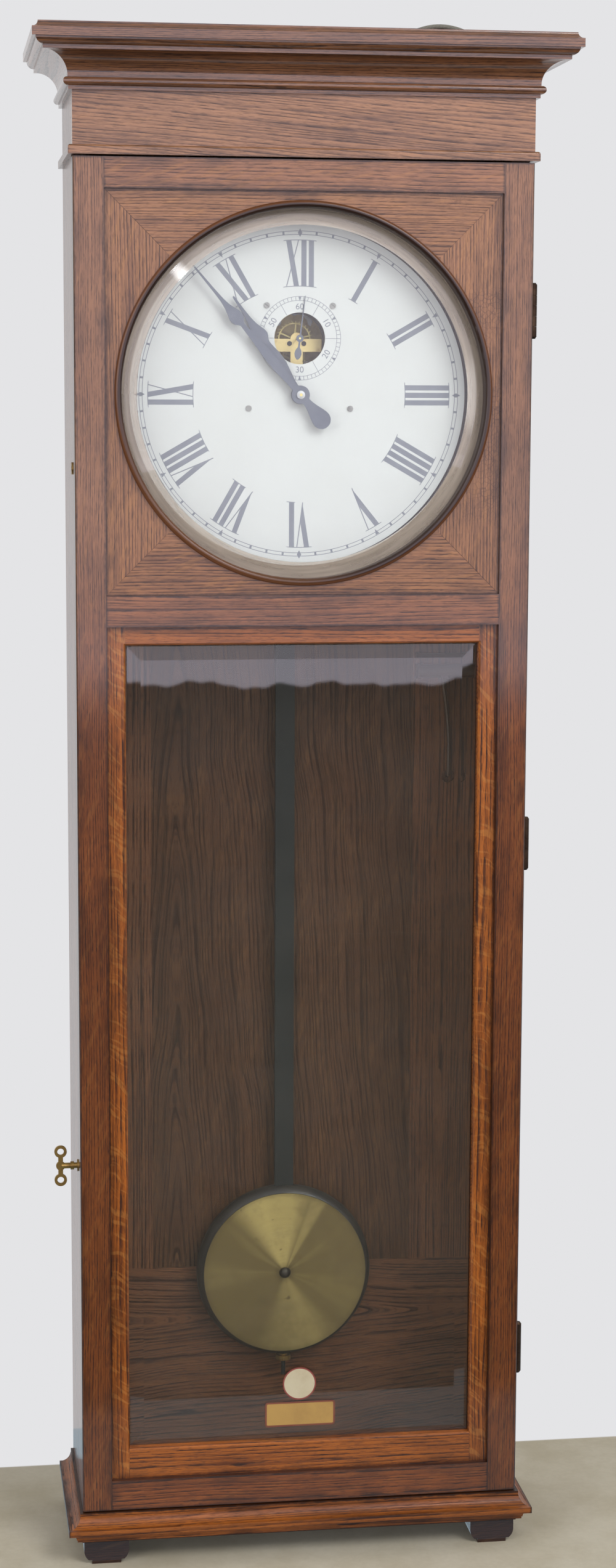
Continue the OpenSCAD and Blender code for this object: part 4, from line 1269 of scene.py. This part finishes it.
@dataclass
class Case:
    """The carcase: its boards, back, mouldings and feet.

    Attributes:
        sides: Nodes of the upright boards.
        shelves: Nodes of the level boards.
    """

    sides: tuple[str, ...] = ("case_side_left", "case_side_right")
    shelves: tuple[str, ...] = ("case_top_board", "case_bottom_board")

    def dress(self) -> None:
        """Finishes every board with its own piece of oak."""
        for i, node in enumerate(self.sides):
            board(Oak(node, seed=1.3 + i, rays=0.2, soil=0.4))
        for i, node in enumerate(self.shelves):
            board(Oak(node, seed=3.1 + i, grain=Grain.ACROSS, dark=paint(66, 36, 20),
                      light=paint(112, 70, 40), soil=0))
        board(Oak("crown_moulding", seed=5.7, grain=Grain.ACROSS, joint=Joint.CORNER_MITRE,
                  dark=paint(46, 23, 12), light=paint(122, 72, 38), bleach=0.35, soil=0,
                  gloss=0.85))
        board(Oak("base_moulding", seed=6.7, grain=Grain.ACROSS, joint=Joint.CORNER_MITRE,
                  dark=paint(84, 42, 17), light=paint(172, 98, 38), pitch=0.004, reach=0.03,
                  bleach=0, soil=0.9, gloss=0.12))
        board(Oak("frieze_board", seed=7.9, grain=Grain.ACROSS, joint=Joint.CORNER_MITRE,
                  slope=0.07, dark=paint(76, 42, 24), light=paint(160, 104, 64), pitch=0.0036,
                  reach=0.02, rays=0.3, soil=0.5))
        board(Oak("back_frame", seed=9.2, joint=Joint.BACK_BUTT, grain=Grain.ACROSS, heart=0.2,
                  pitch=0.0045, reach=0.04, dark=paint(34, 19, 13), light=paint(106, 68, 44),
                  figure=0.9, pores=1.2, bleach=0, soil=0, gloss=0, shine=0.1))
        board(Oak("back_panel", seed=11.4, dark=paint(20, 11, 7), light=paint(80, 52, 32),
                  heart=-0.113, pitch=0.0045, reach=0.04, pores=1.3, figure=0.9, bleach=0,
                  soil=0, gloss=0, shine=0.1))
        board(Oak("feet", seed=13.6, grain=Grain.ACROSS, dark=paint(34, 18, 14),
                  light=paint(58, 32, 24), bleach=0, soil=0))
        ease_edges(0.9, *self.sides, "frieze_board", "feet")
        LOG.info("case is finished")


@dataclass
class Door:
    """The door: stiles, rails, the dial's surround and ring, the two glasses and the hinges.

    Attributes:
        stiles: Nodes of the upright boards.
        rails: Nodes of the level boards.
        bevel: How far the painted reflection on the dial glass's bevel reaches in from its rim, in
            millimetres.
    """

    stiles: tuple[str, ...] = ("door_stile_left", "door_stile_right")
    rails: tuple[str, ...] = ("door_rail_top", "door_rail_middle", "door_rail_bottom")
    bevel: float = 25.6

    def dress(self) -> None:
        """Finishes the woodwork, the glasses and the hinge leaves."""
        for i, node in enumerate(self.stiles):
            board(Oak(node, seed=15.1 + i * 2.3, dark=paint(58, 25, 11),
                      light=paint(130, 71, 30), pitch=0.0025, pores=0.8, rays=0.3, figure=0.9))
        for i, node in enumerate(self.rails):
            board(Oak(node, seed=19.7 + i * 1.9, grain=Grain.ACROSS, pitch=0.0038, reach=0.024,
                      light=paint(150, 82, 34), rays=0.7 if i == 0 else 0.2))
        board(Oak("dial_surround", seed=27.3, grain=Grain.ACROSS, joint=Joint.DIAL_MITRE,
                  light=paint(158, 96, 42), rays=0.5, pitch=0.0032, reach=0.02, crazed=True,
                  gloss=0.5))
        dress(RingOak("oak dial_ring", middle("dial_ring").z, reach("dial_ring")), "dial_ring")
        board(Oak("lower_glass_frame", seed=31.3, grain=Grain.ACROSS, joint=Joint.BUTT,
                  dark=paint(104, 50, 16), light=paint(182, 102, 34), pitch=0.0046, reach=0.035,
                  pores=0.95, rays=0.1, ribbon=1.0, bleach=0.3, gloss=0.4))
        board(Oak("glass_stops", seed=33.1, dark=paint(70, 36, 20), light=paint(116, 68, 36),
                  bleach=0.3, soil=0))
        dress(Glass("dial glass", bevel_from=reach("dial_glass") - self.bevel * MM,
                    centre=middle("dial_glass").z), "dial_glass")
        dress(Glass("plate glass"), "lower_glass")
        dress(Metal("dark bronze", paint(70, 54, 40), paint(38, 26, 20), 0.42, 0.9,
                    (300, 300, 900), 0.7), "hinge_leaves_case", "hinge_leaves_door",
              "hinge_screws_case", "hinge_screws_door")
        ease_edges(0.7, "door_stile_left", *self.rails)
        LOG.info("door is finished")


@dataclass
class Printing:
    """The black-grey printing of the dial, in flat pieces just in front of the enamel.

    Sizes are in millimetres, measured from the middle of the dial or of the seconds dial.

    Attributes:
        outer: Radius at the outer ends of the numerals.
        inner: Radius at their inner ends.
        thick: Width of a heavy stroke.
        hair: Width of a hairline.
        thin: Width of a thin slanting stroke.
        letter: Width of a V or an X.
        gap: Space between letters.
        serif: How far a serif reaches past its letter.
        tip: How far a thin stroke ends inside its letter's width.
        track: Radii of the minute track's lines.
        track_line: Width of those lines.
        minute_bar: Width of a minute's bar.
        five_mark: Width and height of the triangle at every fifth minute.
        five_in: How far that triangle lies in from the middle of the track.
        quarter_mark: Width and height of the diamond at every quarter.
        lift: How far the printing stands in front of the enamel.
        layer: How far a stroke that crosses another stands in front of it.
        small_up: Height of the middle of the seconds dial.
        small_track: Radii of the seconds track's lines.
        small_line: Width of those lines.
        half_line: Width of the long lines half way between two numbers.
        second_bar: Width of a second's bar.
        small_open: Radius of the seconds dial's opening.
        ten_mark: Width and height of the triangle at every tenth second.
        ten_out: How far that triangle lies out from the middle of the track.
        figure: Size of the seconds dial's numbers.
        figures_at: Radius where those numbers stand.
        parts: The finished parts, in metres.
    """

    outer: float = 151.3
    inner: float = 106.5
    thick: float = 5.1
    hair: float = 0.7
    thin: float = 0.98
    letter: float = 13.0
    gap: float = 2.3
    serif: float = 2.6
    tip: float = 0.6
    track: tuple[float, float] = (156.7, 160.0)
    track_line: float = 0.6
    minute_bar: float = 2.0
    five_mark: tuple[float, float] = (4.2, 5.6)
    five_in: float = 0.8
    quarter_mark: tuple[float, float] = (4.4, 8.4)
    lift: float = 0.04
    layer: float = 0.012
    small_up: float = 55.4
    small_track: tuple[float, float] = (37.2, 41.0)
    small_line: float = 0.44
    half_line: float = 0.45
    second_bar: float = 0.5
    small_open: float = 25.9
    ten_mark: tuple[float, float] = (3.0, 4.6)
    ten_out: float = 0.2
    figure: float = 8.6
    figures_at: float = 30.9
    parts: list[Piece] = field(default_factory=list)

    def bar(self, wide: float, tall: float, x: float, z: float, turn: float = 0) -> Piece:
        """Adds a flat bar with its middle at x and z, turned clockwise by some radians."""
        bar = Bench.add(bpy.ops.mesh.primitive_plane_add, size=1, location=(x * MM, 0, z * MM),
                        rotation=(math.pi / 2, turn, 0))
        return Bench.settle(bar, scale=(wide * MM, tall * MM, 1))

    def disc(self, corners: int, radius: float) -> Piece:
        """Adds a flat disc, or with few corners a triangle or a diamond."""
        return Bench.settle(Bench.add(
            bpy.ops.mesh.primitive_circle_add, vertices=corners, radius=radius * MM,
            fill_type="NGON", rotation=(math.pi / 2, 0, 0)))

    def ring(self, middle_radius: float, wide: float) -> Piece:
        """Adds a flat ring round the middle.

        Args:
            middle_radius: The radius of its middle line.
            wide: Its width.

        Returns:
            The ring.
        """
        ring = self.disc(180, middle_radius + wide / 2)
        with Bench.editing(ring):
            bpy.ops.mesh.inset(thickness=wide * MM)
            bpy.ops.mesh.delete(type="FACE")
        return ring

    def cut(self, piece: Piece, point: tuple[float, float], away: tuple[float, float]) -> None:
        """Cuts off what lies away from a point, beyond a straight line through it."""
        with Bench.editing(piece):
            bpy.ops.mesh.bisect(plane_co=(point[0] * MM, 0, point[1] * MM),
                                plane_no=(away[0], 0, away[1]), clear_outer=True)

    def stroke(self, top: float, bottom: float, wide: float, high: float, low: float,
               over: float = 0) -> Piece:
        """A slanting stroke of a numeral, cut level at both ends.

        Args:
            top: Its middle at the outer end.
            bottom: Its middle at the inner end.
            wide: Its width, measured level.
            high: Height of the outer end.
            low: Height of the inner end.
            over: How many layers of print lie under it.

        Returns:
            The stroke.
        """
        lean = math.atan2(top - bottom, high - low)
        long = (high - low) / math.cos(lean)
        piece = self.bar(wide * math.cos(lean), long + 2 * wide, (top + bottom) / 2,
                         (high + low) / 2, lean)
        self.cut(piece, (0, high), (0, 1))
        self.cut(piece, (0, low), (0, -1))
        return Bench.settle(piece, location=(0, -self.layer * over * MM, 0))

    def serif_line(self, radius: float, left: float, right: float) -> Piece:
        """A hairline across the end of a numeral, curved round the dial's middle.

        Args:
            radius: Its radius.
            left: Its left end.
            right: Its right end.

        Returns:
            The hairline.
        """
        line = self.ring(radius, self.hair)
        self.cut(line, (0, radius * 0.5), (0, -1))
        self.cut(line, (left, 0), (-1, 0))
        self.cut(line, (right, 0), (1, 0))
        return Bench.settle(line, location=(0, -self.layer * 2 * MM, 0))

    def numeral(self, letters: str) -> Piece:
        """A Roman numeral at the top of the dial.

        Args:
            letters: The numeral, in I, V and X.

        Returns:
            The numeral in one piece.
        """
        sizes = [self.thick if letter == "I" else self.letter for letter in letters]
        left = -(sum(sizes) + self.gap * (len(letters) - 1)) / 2
        pieces = [self.serif_line(self.outer, left - self.serif, -left + self.serif)]
        feet = []
        for letter, wide in zip(letters, sizes):
            centre, right = left + wide / 2, left + wide
            high = math.sqrt(self.outer ** 2 - centre ** 2)
            low = math.sqrt(self.inner ** 2 - centre ** 2)
            heavy = left + self.thick / 2
            if letter == "I":
                pieces.append(self.bar(wide, high - low, centre, (high + low) / 2))
            elif letter == "X":
                pieces.append(self.stroke(heavy, right - self.thick / 2, self.thick, high, low))
                pieces.append(self.stroke(right - self.tip, left + self.tip, self.thin, high,
                                          low, 1))
            else:
                point = centre + self.tip
                stroke = self.stroke(heavy, point + self.thick / 2, self.thick, high, low)
                side = Vector((high - low, point - right)).normalized()
                self.cut(stroke, (point, low), side)
                pieces += [stroke, self.stroke(right - 0.5, point - 0.5, self.thin, high, low, 1)]
            if letter != "V":
                feet += [left, right]
            left = right + self.gap
        if feet:
            start = feet[0] - (self.serif if letters[0] != "V" else 1.0)
            pieces.append(self.serif_line(self.inner, start, feet[-1] + self.serif))
        return Bench.join(pieces, "numeral")

    def mark(self, corners: int, size: tuple[float, float], radius: float) -> Piece:
        """A filled triangle or diamond at the top of a dial, with its tip to the middle.

        Args:
            corners: 3 for a triangle, 4 for a diamond.
            size: Its width and height.
            radius: Distance of its middle from the middle of the dial.

        Returns:
            The mark.
        """
        mark = self.disc(corners, 1)
        wide, _, tall = mark.dimensions
        return Bench.settle(mark, scale=(size[0] * MM / wide, 1, size[1] * MM / tall),
                            rotation_euler=(0, math.pi, 0), location=(0, 0, radius * MM))

    def place(self, piece: Piece, angle: float, up: float = 0) -> None:
        """Turns a piece clockwise round the middle, in degrees, and keeps it."""
        self.parts.append(Bench.settle(piece, rotation_euler=(0, math.radians(angle), 0),
                                       location=(0, 0, up * MM)))

    def repeat(self, piece: Piece, angles: Sequence[float], up: float = 0) -> None:
        """Copies a piece round the middle, each copy with its own mesh.

        Args:
            piece: The piece at the top.
            angles: Turns of the copies in degrees, clockwise.
            up: Height of the middle that they turn round.
        """
        for angle in angles[1:]:
            Bench.only(piece)
            bpy.ops.object.duplicate(linked=False)
            self.place(bpy.context.object, angle, up)
        self.place(piece, angles[0], up)

    def hours(self) -> None:
        """The Roman numerals and the minute track."""
        names = ("XII", "I", "II", "III", "IIII", "V", "VI", "VII", "VIII", "IX", "X", "XI")
        for hour, letters in enumerate(names):
            self.place(self.numeral(letters), 30 * hour)
        low, high = self.track
        centre = (high + low) / 2
        self.parts += [self.ring(radius, self.track_line) for radius in self.track]
        self.repeat(self.bar(self.minute_bar, high - low, 0, centre),
                    [6 * minute for minute in range(60) if minute % 5])
        self.repeat(self.mark(3, self.five_mark, centre - self.five_in),
                    [6 * minute for minute in range(0, 60, 5) if minute % 15])
        self.repeat(self.mark(4, self.quarter_mark, centre), (0, 90, 180, 270))

    def seconds(self) -> None:
        """The seconds track and its numbers."""
        low, high = self.small_track
        centre, long = (low + high) / 2, low - self.small_open
        for radius in self.small_track:
            self.place(self.ring(radius, self.small_line), 0, self.small_up)
        self.repeat(self.bar(self.half_line, long, 0, self.small_open + long / 2),
                    range(30, 360, 60), self.small_up)
        self.repeat(self.bar(self.second_bar, high - low, 0, centre),
                    [6 * second for second in range(60) if second % 10], self.small_up)
        self.repeat(self.mark(3, self.ten_mark, centre + self.ten_out), range(0, 360, 60),
                    self.small_up)
        for number in range(10, 70, 10):
            text = Bench.add(bpy.ops.object.text_add, rotation=(math.pi / 2, 0, 0))
            text.data.body = str(number)
            text.data.size = self.figure * MM
            text.data.align_x = text.data.align_y = "CENTER"
            bpy.ops.object.convert(target="MESH")
            text = Bench.settle(bpy.context.object)
            head_in = number in (20, 30, 40)
            Bench.settle(text, rotation_euler=(0, math.pi if head_in else 0, 0),
                         location=(0, 0, self.figures_at * MM))
            self.place(text, 6 * number, self.small_up)

    def build(self) -> None:
        """Prints the dial and joins the printing into one piece."""
        self.hours()
        self.seconds()
        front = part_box("dial_plate")[0][1] - self.lift * MM
        printing = Bench.settle(Bench.join(self.parts, "dial_printing"),
                                location=(0, front, middle("dial_plate").z))
        ink = Coating("dial ink", paint(104, 107, 120), paint(140, 142, 150), 0.5, 0.35, 60)
        printing.data.materials.append(ink.make())
        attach(printing, "case")
        LOG.info("dial is printed with %d faces", len(printing.data.polygons))


@dataclass
class Dial:
    """The dial plate, its screws and its printing."""

    def dress(self) -> None:
        """Finishes the plate and prints it."""
        dress(Coating("dial enamel", paint(199, 200, 199), paint(180, 179, 174), 0.42, 0.25, 9.0,
                      0.00001), "dial_plate")
        dress(Metal("screw steel", paint(150, 148, 146), paint(104, 100, 98), metallic=0.3),
              "dial_screws")
        Printing().build()


@dataclass
class Works:
    """The movement behind the dial, with its hands, magnet, terminals, grommet and plug.

    Attributes:
        brushed: Stretch of the plates' brush marks along X, Y and Z.
        cock_screws: Places of the cock's screws, across and below its top, in millimetres.
    """

    brushed: Point = (1400, 500, 120)
    cock_screws: tuple[float, float] = (7.2, 10.8)

    def dress(self) -> None:
        """Finishes plates, wheels, hands and what the current goes through."""
        across, down = (size * MM for size in self.cock_screws)
        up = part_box("escapement_cock")[1][2] - down
        # front plate: dark grey-brown, darker than the other brass of the movement
        dress(Metal("dark grey brass", paint(104, 94, 84), paint(62, 56, 54), 0.45, 0.6,
                    self.brushed, 0.8), "movement_front_plate")
        dress(Metal("brass", paint(222, 198, 134), paint(160, 128, 78), 0.34, 0.75,
                    self.brushed), "movement_back_plate", "movement_pillars")
        dress(Metal("cock brass", paint(232, 210, 150), paint(176, 146, 96), 0.34, 0.7,
                    self.brushed, dark_heads=((-across, up), (across, up))), "escapement_cock")
        dress(Metal("wheel brass", paint(244, 226, 150), paint(196, 166, 100), 0.3, 0.6),
              "centre_wheel", "hour_wheel", "minute_wheel", "third_wheel", "escape_wheel",
              "winding_wheel")
        dress(Metal("steel", paint(176, 176, 180), paint(110, 108, 108), 0.28, 0.7),
              "pallet_verge")
        dress(Metal("spring steel", paint(138, 140, 146), paint(90, 88, 90), 0.3),
              "suspension_spring")
        dress(Metal("dark brass", paint(122, 100, 56), paint(66, 50, 30), 0.42, 1.0,
                    (300, 300, 300), 0.7), "winding_armature")
        dress(Coating("hand paint", paint(84, 88, 104), paint(110, 112, 124), 0.34, 0.3, 70,
                      0.00001, 0.4), "hour_hand", "minute_hand", "second_hand")
        dress(Coating("nut enamel", paint(206, 206, 208), paint(150, 150, 156), 0.4, 0.3, 90),
              "hand_nut")
        dress(Coating("japanned iron", paint(38, 42, 42), paint(66, 58, 50), 0.34, 0.35, 30,
                      0.00004, 0.3), "movement_bracket")
        dress(Winding("silk winding", paint(122, 52, 30)), "winding_magnet")
        dress(Coating("bakelite", paint(56, 32, 20), paint(84, 60, 44), 0.28, 0.3, 30, 0.00001,
                      0.4), "terminal_block")
        dress(Coating("rubber", paint(36, 34, 32), paint(80, 76, 70), 0.7, 0.4), "cord_grommet")
        dress(Coating("moulded plug", paint(60, 36, 24), paint(92, 68, 50), 0.26, 0.3, 30,
                      0.00001, 0.5), "cord_plug")
        LOG.info("movement is finished")


@dataclass
class Pendulum:
    """The rod, the bob with its turned brass face, and the rating nut."""

    def dress(self) -> None:
        """Finishes the pendulum."""
        dress(TurnedBrass("turned brass", middle("bob_face"), reach("bob_face")), "bob_face")
        dress(Coating("bob iron", paint(34, 34, 34), paint(62, 54, 44), 0.42, 0.4, 26, 0.00004,
                      0.1, 0.25), "bob_weight")
        dress(Coating("rod paint", paint(19, 26, 28), paint(42, 42, 40), 0.42, 0.3, 18, 0.00003,
                      0.0, 0.15), "pendulum_rod")
        dress(Metal("nut brass", paint(150, 122, 70), paint(80, 60, 34), 0.36), "rating_nut")
        LOG.info("pendulum is finished")


@dataclass
class Latches:
    """The two turning latches with their collars, the key and the strikes on the door."""

    def dress(self) -> None:
        """Finishes the latches."""
        dress(Metal("worn brass", paint(178, 148, 84), paint(92, 68, 38), 0.36, 1.0,
                    (500, 500, 200), 0.6), "latch_collars", "latch_upper", "latch_lower",
              "latch_strikes", "latch_key")
        LOG.info("latches are finished")


@dataclass
class Labels:
    """Two blank stickers on the lower glass, one round and one oblong.

    Sizes are in millimetres.

    Attributes:
        round_at: Middle of the round sticker, across and in height.
        round_radius: Its radius.
        round_border: Width of its border.
        oblong: Left, right, lower and upper edge of the oblong sticker.
        oblong_border: Width of its border.
        corner: Radius of its corners.
        thick: Thickness of the paper.
        gap: How far the paper stands off the glass.
    """

    round_at: tuple[float, float] = (-0.7, 178.5)
    round_radius: float = 17.4
    round_border: float = 1.5
    oblong: tuple[float, float, float, float] = (-36.5, 36.5, 132.8, 159.2)
    oblong_border: float = 1.8
    corner: float = 3.0
    thick: float = 0.12
    gap: float = 0.01

    def finish(self, piece: Piece, name: str, width: float, paper: Finish,
               border: Finish) -> None:
        """Insets the front of a sticker, for a border in its own colour, and sticks it on.

        Args:
            piece: The sticker.
            name: Its name.
            width: Width of the border.
            paper: Finish of the middle.
            border: Finish of the border.
        """
        piece.name = name
        Bench.settle(piece)
        front = min(vertex.co.y for vertex in piece.data.vertices)
        piece.data.materials.append(border.make())
        piece.data.materials.append(paper.make())
        with Bench.editing(piece):
            Bench.pick(piece, lambda place: place.y < front + 0.00002)
            bpy.ops.mesh.inset(thickness=width * MM)
            piece.active_material_index = 1
            bpy.ops.object.material_slot_assign()
        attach(piece, "door")

    def build(self) -> None:
        """Sticks both stickers on the outside of the lower glass."""
        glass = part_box("lower_glass")[0][1] - (self.thick / 2 + self.gap) * MM
        x, z = self.round_at
        sticker = Bench.add(
            bpy.ops.mesh.primitive_cylinder_add, vertices=96, radius=self.round_radius * MM,
            depth=self.thick * MM, location=(x * MM, glass, z * MM),
            rotation=(math.pi / 2, 0, 0))
        self.finish(sticker, "round_sticker", self.round_border,
                    Coating("cream paper", paint(214, 204, 176), paint(180, 160, 124), 0.7, 0.5,
                            40),
                    Coating("red border", paint(140, 52, 44), paint(170, 110, 96), 0.6, 0.4, 80))
        left, right, low, high = (size * MM for size in self.oblong)
        sticker = Bench.settle(
            Bench.add(bpy.ops.mesh.primitive_plane_add, size=1, rotation=(math.pi / 2, 0, 0),
                      location=((left + right) / 2, glass, (low + high) / 2)),
            scale=(right - left, high - low, 1))
        with Bench.editing(sticker):
            bpy.ops.mesh.bevel(offset=self.corner * MM, segments=5, affect="VERTICES")
        body = sticker.modifiers.new("thickness", "SOLIDIFY")
        body.thickness = self.thick * MM
        body.offset = 0
        bpy.ops.object.modifier_apply(modifier=body.name)
        self.finish(sticker, "oblong_sticker", self.oblong_border,
                    Coating("gold paper", paint(196, 156, 84), paint(156, 118, 60), 0.5, 0.5, 30),
                    Coating("brown border", paint(124, 60, 40), paint(150, 96, 60), 0.6, 0.4, 80))
        LOG.info("stickers are on")


def main() -> None:
    """Builds the scene in order."""
    logging.basicConfig(level=logging.INFO, format="%(name)s: %(message)s")
    Lens().build()
    SupplyCord().build()
    Case().dress()
    Door().dress()
    Dial().dress()
    Works().dress()
    Pendulum().dress()
    Latches().dress()
    Labels().build()
    Studio().build()


if __name__ == "__main__":
    main()
